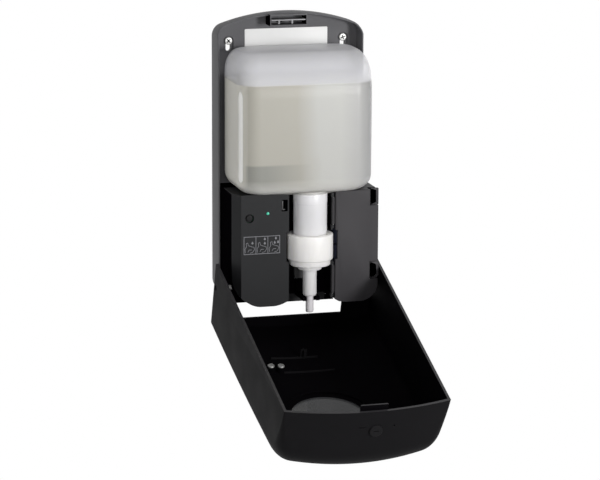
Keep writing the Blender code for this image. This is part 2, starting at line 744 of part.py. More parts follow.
def housing_shell():
    """Front shell with the pump channel, the cell bay and the sensor's lobe."""
    shell = build("housing_shell", prism(housing_outline(0), HOUSING_BACK, HOUSING_FRONT), charcoal())
    wedge = [(HOUSING_LEFT - OVERRUN, HOUSING_FRONT - CHAMFER_DEPTH),
             (HOUSING_LEFT, HOUSING_FRONT - CHAMFER_DEPTH),
             (HOUSING_LEFT + CHAMFER_WIDTH, HOUSING_FRONT),
             (HOUSING_LEFT + CHAMFER_WIDTH, HOUSING_FRONT + OVERRUN),
             (HOUSING_LEFT - OVERRUN, HOUSING_FRONT + OVERRUN)]
    cut(shell, build("chamfer_cut", upright_prism(wedge, -OVERRUN, HOUSING_TOP + OVERRUN), None))
    cavity = prism(housing_outline(HOUSING_WALL, CHAMFER_WIDTH / 2), HOUSING_BACK - OVERRUN,
                   HOUSING_FRONT - HOUSING_WALL)
    hollow = build("housing_hollow", cavity, None)
    inner_wedge = [(side + HOUSING_WALL * 2, depth - HOUSING_WALL) for side, depth in wedge]
    cut(hollow, build("hollow_chamfer", upright_prism(inner_wedge, -OVERRUN, HOUSING_TOP + OVERRUN), None))
    cut(shell, hollow)
    walls = block(CHANNEL_LEFT - HOUSING_WALL, CHANNEL_RIGHT + HOUSING_WALL / 2, CHANNEL_BACK - HOUSING_WALL,
                  HOUSING_FRONT, CHANNEL_FOOT, HOUSING_TOP)
    join(shell, build("channel_walls", walls, None))
    cut(shell, build("channel_cut", block(CHANNEL_LEFT, CHANNEL_RIGHT, CHANNEL_BACK, HOUSING_FRONT + OVERRUN,
                                          -OVERRUN, HOUSING_TOP + OVERRUN), None))
    notch_radius = COLLAR_RADIUS + COLLAR_NOTCH_CLEARANCE
    notch = turned(rod(notch_radius, COLLAR_BOTTOM - COLLAR_NOTCH_CLEARANCE,
                       COLLAR_TOP + COLLAR_NOTCH_CLEARANCE), pump_axis())
    cut(shell, build("collar_notch", notch, None))
    cut(shell, build("rack_slot", block(RACK_PLANE - RUNNING_GAP, RACK_PLANE + RACK_WIDTH + RUNNING_GAP,
                                        CHANNEL_BACK - HOUSING_WALL - OVERRUN, CHANNEL_BACK + OVERRUN,
                                        CARRIAGE_BOTTOM, CARRIAGE_TOP + STROKE), None))
    cut(shell, build("door_opening", block(CHANNEL_RIGHT - OVERRUN, HOUSING_RIGHT + OVERRUN,
                                           door_back() - GAP, HOUSING_FRONT + OVERRUN, -OVERRUN,
                                           HOUSING_TOP + OVERRUN), None))
    for name, centre in (("upper", CLASP_UPPER), ("lower", CLASP_LOWER)):
        cut(shell, build(f"clasp_recess_{name}", block(
            HOUSING_RIGHT - CLASP_NOTCH_WIDTH, HOUSING_RIGHT + OVERRUN, door_back() - CLASP_NOTCH_WIDTH,
            HOUSING_FRONT + OVERRUN, centre - CLASP_NOTCH_HEIGHT / 2, centre + CLASP_NOTCH_HEIGHT / 2),
                         None))
    button_hole = turned(rod(BUTTON_RADIUS + GAP, 0, HOUSING_FRONT + OVERRUN),
                         Vector((BUTTON_SIDE, 0, level(BUTTON_HEIGHT))), "Y", FINE_STEPS)
    cut(shell, build("button_hole", button_hole, None))
    led_hole = turned(rod(LED_RADIUS + GAP, 0, HOUSING_FRONT + OVERRUN),
                      Vector((LED_SIDE, 0, level(LED_HEIGHT))), "Y", FINE_STEPS)
    cut(shell, build("led_hole", led_hole, None))
    cut(shell, build("clip_slot", block(CLIP_SLOT_LEFT, CLIP_SLOT_LEFT + CLIP_SLOT_WIDTH,
                                        HOUSING_FRONT - HOUSING_WALL - OVERRUN, HOUSING_FRONT + OVERRUN,
                                        CLIP_SLOT_BOTTOM, CLIP_SLOT_BOTTOM + CLIP_SLOT_HEIGHT), None))
    cut(shell, build("sensor_opening", block(
        LOBE_LEFT + SENSOR_MARGIN, LOBE_RIGHT - SENSOR_MARGIN, SENSOR_BACK, SENSOR_FRONT, -OVERRUN,
        HOUSING_WALL + OVERRUN), None))
    pin = turned(rod(HINGE_PIN_RADIUS + GAP, HOUSING_LEFT - OVERRUN, HOUSING_RIGHT + OVERRUN),
                 cover_pivot(), "X", FINE_STEPS)
    cut(shell, build("hinge_bores", pin, None))
    for name, bottom, top in door_barrels():
        for end, ear_bottom in (("low", bottom - DOOR_EAR_LENGTH - GAP), ("high", top + GAP)):
            add_door_ear(shell, f"{name}_{end}", ear_bottom)
        bore = turned(rod(DOOR_PIN_RADIUS + GAP / 2, bottom - DOOR_EAR_LENGTH, top + DOOR_EAR_LENGTH),
                      door_axis(),
                      "Z", FINE_STEPS)
        cut(shell, build(f"door_ear_bore_{name}", bore, None))
    return shell


def upright_prism(outline, bottom, top):
    """Filler that extrudes an outline of side and front distance from bottom to top."""
    def fill(shape):
        low = [shape.verts.new((side, -depth, level(bottom))) for side, depth in outline]
        high = [shape.verts.new((side, -depth, level(top))) for side, depth in outline]
        shape.faces.new(low)
        shape.faces.new(list(reversed(high)))
        for index in range(len(outline)):
            after = (index + 1) % len(outline)
            shape.faces.new((low[index], low[after], high[after], high[index]))
    return fill


def pump_axis():
    """Point on the pump's axis at the height of the plate's bottom edge."""
    return Vector((PUMP_SIDE, -PUMP_FRONT, level(0)))


def cover_pivot():
    """Point on the cover's hinge axis, on the centre line."""
    return Vector((0, -PIVOT_FRONT, level(PIVOT_HEIGHT)))


def door_back():
    """Front distance of the inner face of the cell door."""
    return HOUSING_FRONT - DOOR_THICKNESS


def door_axis():
    """Point on the door's hinge axis at the height of the plate's bottom edge."""
    return Vector((DOOR_HINGE_SIDE, DOOR_BARREL_SETBACK - HOUSING_FRONT, level(0)))


def door_barrels():
    """Bottom and top of the two stretches of hinge barrel, clear of the collar's notch."""
    margin = COLLAR_NOTCH_CLEARANCE + DOOR_EAR_LENGTH + DOOR_NOTCH_MARGIN
    edge = DOOR_EAR_LENGTH + HOUSING_WALL
    return (("lower", CHANNEL_FOOT + edge, COLLAR_BOTTOM - margin),
            ("upper", COLLAR_TOP + margin, HOUSING_TOP - edge))


def add_door_ear(shell, name, bottom):
    """Join a small ear to the housing round the door's hinge axis."""
    axis = door_axis()
    top = bottom + DOOR_EAR_LENGTH
    root = block(DOOR_HINGE_SIDE - DOOR_BARREL_RADIUS + GAP, DOOR_HINGE_SIDE, door_back() - 2 * HOUSING_WALL,
                 -axis.y + DOOR_BARREL_RADIUS / 2, bottom, top)
    join(shell, build(f"door_ear_root_{name}", root, None))
    join(shell, build(f"door_ear_{name}",
                      turned(rod(DOOR_BARREL_RADIUS, bottom + GAP / 3, top - GAP / 3), axis, "Z",
                                                 FINE_STEPS), None))


def battery_door():
    """Flat door with a hinge barrel on its left edge and two clasp loops on its right."""
    axis = door_axis()
    outline = door_outline()
    door = build("battery_door", prism(outline, door_back(), HOUSING_FRONT), charcoal(), axis)
    cut(door, build("door_collar_notch", block(
        DOOR_LEFT - OVERRUN, DOOR_LEFT + DOOR_NOTCH_WIDTH, door_back() - OVERRUN, HOUSING_FRONT + OVERRUN,
        COLLAR_BOTTOM - COLLAR_NOTCH_CLEARANCE, COLLAR_TOP + COLLAR_NOTCH_CLEARANCE), None))
    for name, bottom, top in door_barrels():
        leaf = block(DOOR_HINGE_SIDE, DOOR_LEFT + OVERRUN, door_back() + GAP, HOUSING_FRONT - GAP,
                     bottom + GAP,
                     top - GAP)
        join(door, build(f"door_leaf_{name}", leaf, None))
        join(door, build(f"door_barrel_{name}", turned(rod(DOOR_BARREL_RADIUS, bottom, top), axis, "Z",
                                                       FINE_STEPS), None))
        cut(door, build(f"door_bore_{name}",
                        turned(rod(DOOR_PIN_RADIUS + GAP / 2, bottom - OVERRUN, top + OVERRUN),
                                                    axis, "Z", FINE_STEPS), None))
    for name, centre in (("upper", CLASP_UPPER), ("lower", CLASP_LOWER)):
        add_clasp(door, name, centre)
    return smooth(door)


def door_outline():
    """Outline of the door: the housing's right end, a little smaller all round."""
    right = HOUSING_RIGHT
    corner = HOUSING_CORNER
    foot = level(0)
    points = [(DOOR_LEFT, level(HOUSING_TOP)), (DOOR_LEFT, level(CHANNEL_FOOT)), (DOOR_FOOT_SIDE, foot)]
    points += arc((right - corner, foot + corner), corner, 1.5 * pi, tau, CORNER_STEPS)
    points.append((right, level(HOUSING_TOP)))
    return points


def add_clasp(door, name, centre):
    """Cut a notch in the door's right edge and set a sprung loop in it."""
    low, high = centre - CLASP_NOTCH_HEIGHT / 2, centre + CLASP_NOTCH_HEIGHT / 2
    cut(door, build(f"clasp_notch_{name}", block(HOUSING_RIGHT - CLASP_NOTCH_WIDTH, HOUSING_RIGHT + OVERRUN,
                                                 door_back() - OVERRUN, HOUSING_FRONT + OVERRUN, low, high),
                    None))
    left = HOUSING_RIGHT - CLASP_NOTCH_WIDTH
    right = HOUSING_RIGHT + CLASP_REACH
    half = CLASP_NOTCH_HEIGHT / 2 - CLASP_GAP
    middle = level(centre)
    back = door_back() + GAP
    corner = half / 2
    outline = [(left + CLASP_GAP, middle + half), (left + CLASP_GAP, middle - half)]
    outline += arc((right - corner, middle - half + corner), corner, 1.5 * pi, tau, LOOP_STEPS)
    outline += arc((right - corner, middle + half - corner), corner, 0, pi / 2, LOOP_STEPS)
    web = block(left - CLASP_ARM, left + CLASP_ARM, back + GAP, back + CLASP_ARM / 2, centre - half / 2,
                centre + half / 2)
    join(door, build(f"clasp_web_{name}", web, None))
    join(door, build(f"clasp_loop_{name}", prism(outline, back, HOUSING_FRONT - GAP), None))
    hole = [(left + CLASP_ARM, middle + half - CLASP_BAR), (left + CLASP_ARM, middle - half + CLASP_BAR)]
    round_end = half - CLASP_BAR
    hole += arc((right - CLASP_BAR - round_end, middle), round_end, 1.5 * pi, 2.5 * pi, LOOP_END_STEPS)
    cut(door, build(f"clasp_hole_{name}", prism(hole, back - OVERRUN, HOUSING_FRONT + OVERRUN), None))


def door_pins():
    """Two thin steel pins of the door's hinge."""
    for name, bottom, top in door_barrels():
        reach = DOOR_EAR_LENGTH - 2 * GAP
        smooth(build(f"door_pin_{name}",
                     turned(rod(DOOR_PIN_RADIUS, bottom - reach, top + reach), door_axis(), "Z",
                                                FINE_STEPS), steel()))


def dose_button():
    """Round push button that sits a little below the housing's face."""
    face = HOUSING_FRONT - BUTTON_RECESS
    inner = HOUSING_FRONT - HOUSING_WALL - GAP
    place = Vector((BUTTON_SIDE, 0, level(BUTTON_HEIGHT)))
    profile = [(0, inner - BUTTON_FLANGE), (BUTTON_RADIUS + BUTTON_FLANGE, inner - BUTTON_FLANGE),
               (BUTTON_RADIUS + BUTTON_FLANGE, inner), (BUTTON_RADIUS, inner), (BUTTON_RADIUS, face),
               (0, face)]
    pivot = Vector((BUTTON_SIDE, -face, level(BUTTON_HEIGHT)))
    return smooth(build("dose_button", turned(profile, place, "Y", FINE_STEPS), black(), pivot))


def led_lens():
    """Green lens that shows the dispenser's state."""
    inner = HOUSING_FRONT - HOUSING_WALL - GAP
    place = Vector((LED_SIDE, 0, level(LED_HEIGHT)))
    profile = [(0, inner - BUTTON_FLANGE), (LED_RADIUS + BUTTON_FLANGE, inner - BUTTON_FLANGE),
               (LED_RADIUS + BUTTON_FLANGE, inner), (LED_RADIUS, inner), (LED_RADIUS, HOUSING_FRONT),
               (LED_RADIUS / 2, HOUSING_FRONT + LED_RADIUS / 4), (0, HOUSING_FRONT + LED_RADIUS / 4)]
    return smooth(build("led_lens", turned(profile, place, "Y", FINE_STEPS),
                        material("green_lens", (0.10, 0.75, 0.45), 0.2)))


def dose_guide():
    """Thin plate with the printed dose guide."""
    back = HOUSING_FRONT + GAP
    return build("dose_guide", block(GUIDE_LEFT, GUIDE_LEFT + GUIDE_WIDTH, back, back + GUIDE_THICKNESS,
                                     GUIDE_BOTTOM, GUIDE_BOTTOM + GUIDE_HEIGHT), charcoal())


def neck_clip():
    """Small grey hook behind the slot beside the bottle's neck."""
    back = HOUSING_FRONT - HOUSING_WALL - CLIP_THICKNESS
    left = CLIP_SLOT_LEFT + GAP
    right = CLIP_SLOT_LEFT + CLIP_SLOT_WIDTH - GAP
    bottom = CLIP_SLOT_BOTTOM + GAP
    top = CLIP_SLOT_BOTTOM + CLIP_SLOT_HEIGHT - GAP
    clip = build("neck_clip", block(left, right, back, HOUSING_FRONT - GAP, bottom, top), grey())
    cut(clip, build("clip_hollow", block(left + CLIP_THICKNESS, right + OVERRUN, back + CLIP_THICKNESS,
                                         HOUSING_FRONT + OVERRUN, bottom + CLIP_THICKNESS, top + OVERRUN),
                    None))
    return clip


def circuit_board():
    """Control board on four posts behind the housing's left face."""
    front = board_front()
    board = build("circuit_board",
                  block(BOARD_LEFT, BOARD_RIGHT, front - BOARD_THICKNESS, front, BOARD_BOTTOM,
                                         BOARD_TOP), material("board_green", (0.03, 0.20, 0.10), 0.5))
    seat = HOUSING_FRONT - HOUSING_WALL - GAP
    for level_name, height in (("low", BOARD_BOTTOM + BOARD_POST_INSET),
                               ("high", BOARD_TOP - BOARD_POST_INSET)):
        for name, side in (("left", BOARD_LEFT + BOARD_POST_INSET),
                           ("right", BOARD_RIGHT - BOARD_POST_INSET)):
            post = turned(rod(BOARD_POST_RADIUS, front - BOARD_THICKNESS / 2, seat),
                          Vector((side, 0, level(height))),
                          "Y", POST_STEPS)
            join(board, build(f"board_post_{level_name}_{name}", post, None))
    return smooth(board)


def board_front():
    """Front of the board, behind the pressed button's flange and the switch."""
    return HOUSING_FRONT - HOUSING_WALL - BUTTON_FLANGE - BUTTON_TRAVEL - SWITCH_HEIGHT - 2 * GAP


def sensor_window():
    """Dark infrared window in the underside of the lobe."""
    return build("sensor_window", block(
        LOBE_LEFT + SENSOR_MARGIN + GAP, LOBE_RIGHT - SENSOR_MARGIN - GAP, SENSOR_BACK + GAP,
                                        SENSOR_FRONT - GAP,
        GAP, HOUSING_WALL), material("infrared_window", (0.03, 0.005, 0.01), 0.12))


def sensor_board():
    """Small board with the emitter and the receiver above the window."""
    bottom = HOUSING_WALL + SENSOR_BOARD_GAP
    board = build("sensor_board", block(LOBE_LEFT + SENSOR_MARGIN, LOBE_RIGHT - SENSOR_MARGIN, SENSOR_BACK,
                                        SENSOR_FRONT, bottom, bottom + SENSOR_THICKNESS),
                  material("board_green", (0.03, 0.20, 0.10), 0.5))
    middle = (SENSOR_BACK + SENSOR_FRONT) / 2
    for name, share in zip(("emitter", "receiver"), SENSOR_EYE_SHARES):
        side = LOBE_LEFT + (LOBE_RIGHT - LOBE_LEFT) * share
        eye = turned(rod(SENSOR_EYE_RADIUS, HOUSING_WALL + GAP, bottom + SENSOR_THICKNESS / 2),
                     Vector((side, -middle, level(0))), "Z", FINE_STEPS)
        join(board, build(f"sensor_{name}", eye, None))
    return smooth(board)


def cells():
    """Four round cells, two high and two deep, with the contacts under and over them."""
    inner_bottom = CELL_FLOOR + CONTACT_THICKNESS + CELL_GAP
    body = material("cell_jacket", (0.08, 0.09, 0.14), 0.35, 0.4)
    index = 1
    for row in range(2):
        front = CELL_BACK_FRONT + row * (2 * CELL_RADIUS + RUNNING_GAP)
        for step in range(2):
            start = inner_bottom + step * CELL_PITCH
            profile = [(0, start), (CELL_RADIUS, start), (CELL_RADIUS, start + CELL_LENGTH),
                       (CELL_NUB_RADIUS, start + CELL_LENGTH),
                       (CELL_NUB_RADIUS, start + CELL_LENGTH + CELL_NUB_HEIGHT),
                       (0, start + CELL_LENGTH + CELL_NUB_HEIGHT)]
            cell = turned(profile, Vector((CELL_SIDE, -front, level(0))), "Z", ROUND_STEPS)
            smooth(build(f"cell_{index}", cell, body))
            index += 1
    back = CELL_BACK_FRONT - CELL_NUB_RADIUS
    front = CELL_BACK_FRONT + 2 * CELL_RADIUS + CELL_NUB_RADIUS
    for name, bottom in (("lower", CELL_FLOOR), ("upper", CELL_STACK_TOP - CONTACT_THICKNESS)):
        build(f"cell_contact_{name}",
              block(CELL_SIDE - CELL_NUB_RADIUS, CELL_SIDE + CELL_NUB_RADIUS, back, front,
                                            bottom, bottom + CONTACT_THICKNESS), steel())


def tooth_ring(teeth, module, phase):
    """Angles and radii round a gear: root, tip, tip and root for each tooth."""
    pitch_radius = teeth * module / 2
    tip, root = pitch_radius + ADDENDUM_SHARE * module, pitch_radius - DEDENDUM_SHARE * module
    step = tau / teeth
    ring = []
    for tooth in range(teeth):
        middle = phase + tooth * step
        ring += [(middle - step * TOOTH_ROOT_SHARE / 2, root), (middle - step * TOOTH_TIP_SHARE / 2, tip),
                 (middle + step * TOOTH_TIP_SHARE / 2, tip), (middle + step * TOOTH_ROOT_SHARE / 2, root)]
    return ring


def gear(teeth, module, phase, centre, start, width, bore):
    """Filler for a toothed wheel on an axis along X, bored for its shaft."""
    ring = tooth_ring(teeth, module, phase)

    def loop(shape, along, radius=None):
        return [shape.verts.new(centre + Vector((along, -(radius or far) * cos(angle),
                                                 (radius or far) * sin(angle))))
                for angle, far in ring]

    def fill(shape):
        sides = [loop(shape, start), loop(shape, start + width), loop(shape, start + width, bore),
                 loop(shape, start, bore)]
        for first, second in zip(sides, sides[1:] + sides[:1]):
            for index in range(len(ring)):
                after = (index + 1) % len(ring)
                shape.faces.new((first[index], first[after], second[after], second[index]))
    return fill


def train_axis(step):
    """Point on the axis of the drive gear, the idler or the motor, counted from below."""
    distance = (PINION_TEETH + WHEEL_TEETH) * MODULE_TRAIN / 2
    return Vector((0, -TRAIN_FRONT, level(DRIVE_HEIGHT + step * distance)))


def drive_gear():
    """Large wheel with the small pinion that lifts the rack."""
    axis = train_axis(0)
    bore = SHAFT_RADIUS + GAP / 2
    wheel = build("drive_gear", gear(WHEEL_TEETH, MODULE_TRAIN, pi / 2, axis, DRIVE_PLANE, GEAR_WIDTH, bore),
                  white(), axis)
    pinion_start = DRIVE_PLANE + GEAR_WIDTH / 2
    join(wheel, build("rack_pinion", gear(RACK_PINION_TEETH, MODULE_RACK, 0, axis, pinion_start,
                                          RACK_PLANE + RACK_WIDTH - pinion_start, bore), None))
    return wheel


def idler_gear():
    """Wheel and pinion between the motor and the drive gear."""
    axis = train_axis(1)
    bore = SHAFT_RADIUS + GAP / 2
    plane = DRIVE_PLANE - GEAR_SPACING
    wheel = build("idler_gear", gear(WHEEL_TEETH, MODULE_TRAIN, pi / 2, axis, plane, GEAR_WIDTH, bore),
                  white(), axis)
    gap_phase = -pi / 2 + pi / PINION_TEETH
    pinion_start = plane + GEAR_WIDTH / 2
    join(wheel, build("idler_pinion", gear(PINION_TEETH, MODULE_TRAIN, gap_phase, axis, pinion_start,
                                           DRIVE_PLANE + GEAR_WIDTH - pinion_start, bore), None))
    return wheel


def motor_parts():
    """Small can motor and the pinion on its shaft."""
    axis = train_axis(2)
    plane = DRIVE_PLANE - GEAR_SPACING
    face = FRAME_LEFT - GAP
    profile = [(0, face - MOTOR_LENGTH), (MOTOR_RADIUS, face - MOTOR_LENGTH), (MOTOR_RADIUS, face),
               (MOTOR_BOSS_RADIUS, face), (MOTOR_BOSS_RADIUS, face + MOTOR_BOSS_LENGTH),
               (MOTOR_SHAFT_RADIUS, face + MOTOR_BOSS_LENGTH), (MOTOR_SHAFT_RADIUS, plane + GEAR_WIDTH),
               (0, plane + GEAR_WIDTH)]
    smooth(build("motor", turned(profile, axis, "X", ROUND_STEPS), steel()))
    gap_phase = -pi / 2 + pi / PINION_TEETH
    build("motor_pinion", gear(PINION_TEETH, MODULE_TRAIN, gap_phase, axis, plane, GEAR_WIDTH,
                               MOTOR_SHAFT_RADIUS + GAP / 2),
          material("brass", (0.70, 0.52, 0.22), 0.35, 1.0), axis)


def gear_frame():
    """Bent bracket that carries the shafts and the motor."""
    frame = build("gear_frame",
                  block(FRAME_LEFT, FRAME_RIGHT, FRAME_BACK, FRAME_FRONT, FRAME_BOTTOM, FRAME_TOP),
                  black())
    cut(frame,
        build("frame_cut", block(FRAME_LEFT + FRAME_WALL, FRAME_RIGHT - FRAME_WALL, FRAME_BACK + FRAME_WALL,
                                        FRAME_FRONT + OVERRUN, FRAME_BOTTOM - OVERRUN, FRAME_TOP + OVERRUN),
              None))
    for step, radius in ((0, SHAFT_RADIUS), (1, SHAFT_RADIUS), (2, MOTOR_BOSS_RADIUS)):
        hole = turned(rod(radius + GAP / 2, FRAME_LEFT - OVERRUN, FRAME_RIGHT + OVERRUN), train_axis(step),
                      "X",
                      FINE_STEPS)
        cut(frame, build(f"frame_bore_{step}", hole, None))
    return frame


def gear_shafts():
    """Two fixed steel shafts across the bracket."""
    for step, name in ((0, "drive_shaft"), (1, "idler_shaft")):
        smooth(build(name,
                     turned(rod(SHAFT_RADIUS, FRAME_LEFT, FRAME_RIGHT), train_axis(step), "X", FINE_STEPS),
                     steel()))


def lift_carriage():
    """Grey slide in the channel with the rack on its back."""
    back = CHANNEL_BACK + RUNNING_GAP
    pivot = Vector((PUMP_SIDE, -back, level(CARRIAGE_BOTTOM)))
    body = block(PUMP_SIDE - CARRIAGE_HALF_WIDTH, PUMP_SIDE + CARRIAGE_HALF_WIDTH, back,
                 back + CARRIAGE_THICKNESS,
                 CARRIAGE_BOTTOM, CARRIAGE_TOP)
    carriage = build("lift_carriage", body, grey(), pivot)
    pitch_line = TRAIN_FRONT + RACK_PINION_TEETH * MODULE_RACK / 2
    tip, root = pitch_line - ADDENDUM_SHARE * MODULE_RACK, pitch_line + DEDENDUM_SHARE * MODULE_RACK
    pitch = pi * MODULE_RACK
    first = DRIVE_HEIGHT + pitch / 2 - (RACK_TEETH - 2) * pitch
    rear = root + RACK_BACKING
    outline = [(rear, first - pitch / 2), (root, first - pitch / 2)]
    for tooth in range(RACK_TEETH):
        middle = first + tooth * pitch
        outline += [(root, middle - pitch * TOOTH_ROOT_SHARE / 2),
                    (tip, middle - pitch * TOOTH_TIP_SHARE / 2),
                    (tip, middle + pitch * TOOTH_TIP_SHARE / 2),
                    (root, middle + pitch * TOOTH_ROOT_SHARE / 2)]
    top = first + (RACK_TEETH - 1) * pitch + pitch / 2
    arm_front = back + CARRIAGE_THICKNESS / 2
    arm_low, arm_high = CARRIAGE_BOTTOM + RUNNING_GAP, CARRIAGE_TOP - RUNNING_GAP
    outline += [(root, top), (rear, top), (rear, arm_high), (arm_front, arm_high), (arm_front, arm_low),
                (rear, arm_low)]
    join(carriage, build("rack", side_prism(outline, RACK_PLANE, RACK_PLANE + RACK_WIDTH), None))
    return carriage


def side_prism(outline, left, right):
    """Filler that extrudes an outline of front distance and height from left to right."""
    def fill(shape):
        near = [shape.verts.new((left, -front, level(height))) for front, height in outline]
        far = [shape.verts.new((right, -front, level(height))) for front, height in outline]
        shape.faces.new(near)
        shape.faces.new(list(reversed(far)))
        for index in range(len(outline)):
            after = (index + 1) % len(outline)
            shape.faces.new((near[index], near[after], far[after], far[index]))
    return fill


def lift_fork():
    """Black fork that pushes the stem's foot up, fixed under the carriage."""
    back = CHANNEL_BACK + RUNNING_GAP
    top = STEM_BOTTOM - GAP
    plate_top = CARRIAGE_BOTTOM - GAP
    outline = [(back, top - FORK_THICKNESS), (PUMP_FRONT + FORK_REACH, top - FORK_THICKNESS),
               (PUMP_FRONT + FORK_REACH, top), (back + CARRIAGE_THICKNESS, top),
               (back + CARRIAGE_THICKNESS, plate_top), (back, plate_top)]
    pivot = Vector((PUMP_SIDE, -back, level(top)))
    fork = build("lift_fork", side_prism(outline, PUMP_SIDE - FORK_HALF_WIDTH, PUMP_SIDE + FORK_HALF_WIDTH),
                 black(),
                 pivot)
    slot_back = arc((PUMP_SIDE, PUMP_FRONT), FORK_SLOT_RADIUS, pi, tau, SLOT_STEPS)
    slot = slot_back + [(PUMP_SIDE + FORK_SLOT_RADIUS, PUMP_FRONT + FORK_REACH + OVERRUN),
                        (PUMP_SIDE - FORK_SLOT_RADIUS, PUMP_FRONT + FORK_REACH + OVERRUN)]
    cut(fork, build("fork_slot", upright_prism(slot, top - FORK_THICKNESS - OVERRUN, top + OVERRUN), None))
    return fork


def bottle_sections(inset):
    """Rings of the bottle from its floor to its top, moved inwards by the inset."""
    sections = []
    for step in range(HEEL_RINGS):
        turn = step / (HEEL_RINGS - 1) * pi / 2
        draw = (BOTTLE_HEEL - inset) * (1 - sin(turn))
        sections.append((draw, BOTTLE_BOTTOM + inset + (BOTTLE_HEEL - inset) * (1 - cos(turn))))
    shoulder_start = BOTTLE_TOP - BOTTLE_SHOULDER
    for step in range(SHOULDER_RINGS):
        turn = step / (SHOULDER_RINGS - 1) * pi / 2 * SHOULDER_SWEEP_SHARE
        rise = (BOTTLE_SHOULDER - inset) * sin(turn)
        sections.append((BOTTLE_SHOULDER * SHOULDER_DRAW_SHARE * (1 - cos(turn)), shoulder_start + rise))
    rings = []
    for draw, height in sections:
        half = BOTTLE_HALF_WIDTH - inset - draw
        corner = max(BOTTLE_CORNER - inset - draw / 3, BOTTLE_CORNER / 3)
        rings.append(rounded_box_ring(half, BOTTLE_BACK + inset + draw, BOTTLE_FRONT - inset - draw, corner,
                                      height))
    return rings


def bottle():
    """Hollow translucent bottle, upside down, with its mouth at the foot of the neck."""
    def fill(shape):
        outer = bottle_sections(0)
        inner = bottle_sections(BOTTLE_WALL)
        count = len(outer[0])
        bore = NECK_RADIUS - NECK_WALL
        rings = [circle_ring(PUMP_SIDE, PUMP_FRONT, NECK_RADIUS, NECK_BOTTOM, count),
                 circle_ring(PUMP_SIDE, PUMP_FRONT, NECK_RADIUS, BOTTLE_BOTTOM, count)]
        loops = skin(shape, rings + outer, False, True)
        neck_inner = [circle_ring(PUMP_SIDE, PUMP_FRONT, bore, NECK_BOTTOM, count),
                      circle_ring(PUMP_SIDE, PUMP_FRONT, bore, BOTTLE_BOTTOM + BOTTLE_WALL, count)]
        inside = skin(shape, neck_inner + inner, False, True)
        first, second = loops[0], inside[0]
        for index in range(count):
            after = (index + 1) % count
            shape.faces.new((first[index], second[index], second[after], first[after]))
    return smooth(build("bottle", fill, material("natural_bottle", (0.80, 0.82, 0.80), 0.3)), radians(60))


def soap():
    """Liquid in the bottle, up to its level."""
    inset = BOTTLE_WALL + GAP

    def fill(shape):
        rings = [ring for ring in bottle_sections(inset) if ring[0].z < level(SOAP_LEVEL)]
        straight = bottle_sections(inset)[HEEL_RINGS - 1]
        top = [Vector((point.x, point.y, level(SOAP_LEVEL))) for point in straight]
        skin(shape, [ring for ring in rings if ring[0].z <= straight[0].z] + [top], True, True)
    return smooth(build("soap", fill, material("soap_liquid", (0.78, 0.76, 0.62), 0.15)), radians(60))


def pump_closure():
    """Screw collar with its stepped underside, bored for the stem."""
    bore = STEM_RADIUS + GAP
    neck = NECK_RADIUS + GAP
    floor = NECK_BOTTOM - GASKET_THICKNESS - 2 * GAP
    profile = [(COLLAR_RADIUS, COLLAR_BOTTOM), (COLLAR_RADIUS, COLLAR_TOP), (neck, COLLAR_TOP),
               (neck, floor),
               (bore, floor), (bore, FLANGE_BOTTOM), (FLANGE_RADIUS, FLANGE_BOTTOM),
               (FLANGE_RADIUS, RING_BOTTOM),
               (RING_RADIUS - COLLAR_WALL, RING_BOTTOM), (RING_RADIUS, RING_BOTTOM + COLLAR_WALL),
               (RING_RADIUS, COLLAR_BOTTOM)]
    return smooth(build("pump_closure", turned(profile, pump_axis()), white()))


def gasket():
    """Flat ring between the neck's mouth and the collar's floor."""
    bottom = NECK_BOTTOM - GASKET_THICKNESS - GAP
    profile = tube(NECK_RADIUS, CYLINDER_RADIUS - CYLINDER_WALL, bottom, bottom + GASKET_THICKNESS)
    return smooth(build("gasket", turned(profile, pump_axis()), material("rubber", (0.25, 0.25, 0.25), 0.8)))


def pump_cylinder():
    """Cylinder inside the neck, open to the stem below, with an inlet at its top."""
    bottom = NECK_BOTTOM
    bore = CYLINDER_RADIUS - CYLINDER_WALL
    profile = [(CYLINDER_RADIUS, bottom), (CYLINDER_RADIUS, CYLINDER_TOP), (INLET_RADIUS, CYLINDER_TOP),
               (INLET_RADIUS, CYLINDER_TOP - CYLINDER_FLOOR), (bore, CYLINDER_TOP - CYLINDER_FLOOR),
               (bore, bottom)]
    return smooth(build("pump_cylinder", turned(profile, pump_axis()), white()))


def pump_stem():
    """Hollow stem with the piston head on its upper end."""
    piston_bottom = NECK_BOTTOM + GAP
    piston_top = piston_bottom + PISTON_HEIGHT
    piston = CYLINDER_RADIUS - CYLINDER_WALL - GAP
    taper = STEM_RADIUS - STEM_FOOT_RADIUS
    profile = [(STEM_FOOT_RADIUS, STEM_BOTTOM), (STEM_RADIUS, STEM_BOTTOM + 2 * taper),
               (STEM_RADIUS, piston_bottom),
               (piston, piston_bottom), (piston, piston_top), (STEM_BORE, piston_top),
               (STEM_BORE, STEM_BOTTOM)]
    pivot = pump_axis() + Vector((0, 0, STEM_BOTTOM))
    return smooth(build("pump_stem", turned(profile, pump_axis()),
                        material("pale_stem", (0.70, 0.70, 0.72), 0.4),
                        pivot))


def nozzle_tip():
    """Grey outlet that plugs into the stem."""
    top = STEM_BOTTOM - GAP
    spigot = STEM_BORE - GAP
    bore = spigot / 2
    profile = [(NOZZLE_RADIUS, NOZZLE_BOTTOM), (NOZZLE_RADIUS, top), (spigot, top),
               (spigot, top + NOZZLE_SPIGOT),
               (bore, top + NOZZLE_SPIGOT), (bore, NOZZLE_BOTTOM)]
    pivot = pump_axis() + Vector((0, 0, STEM_BOTTOM))
    return smooth(build("nozzle_tip", turned(profile, pump_axis(), "Z", FINE_STEPS), grey(), pivot))


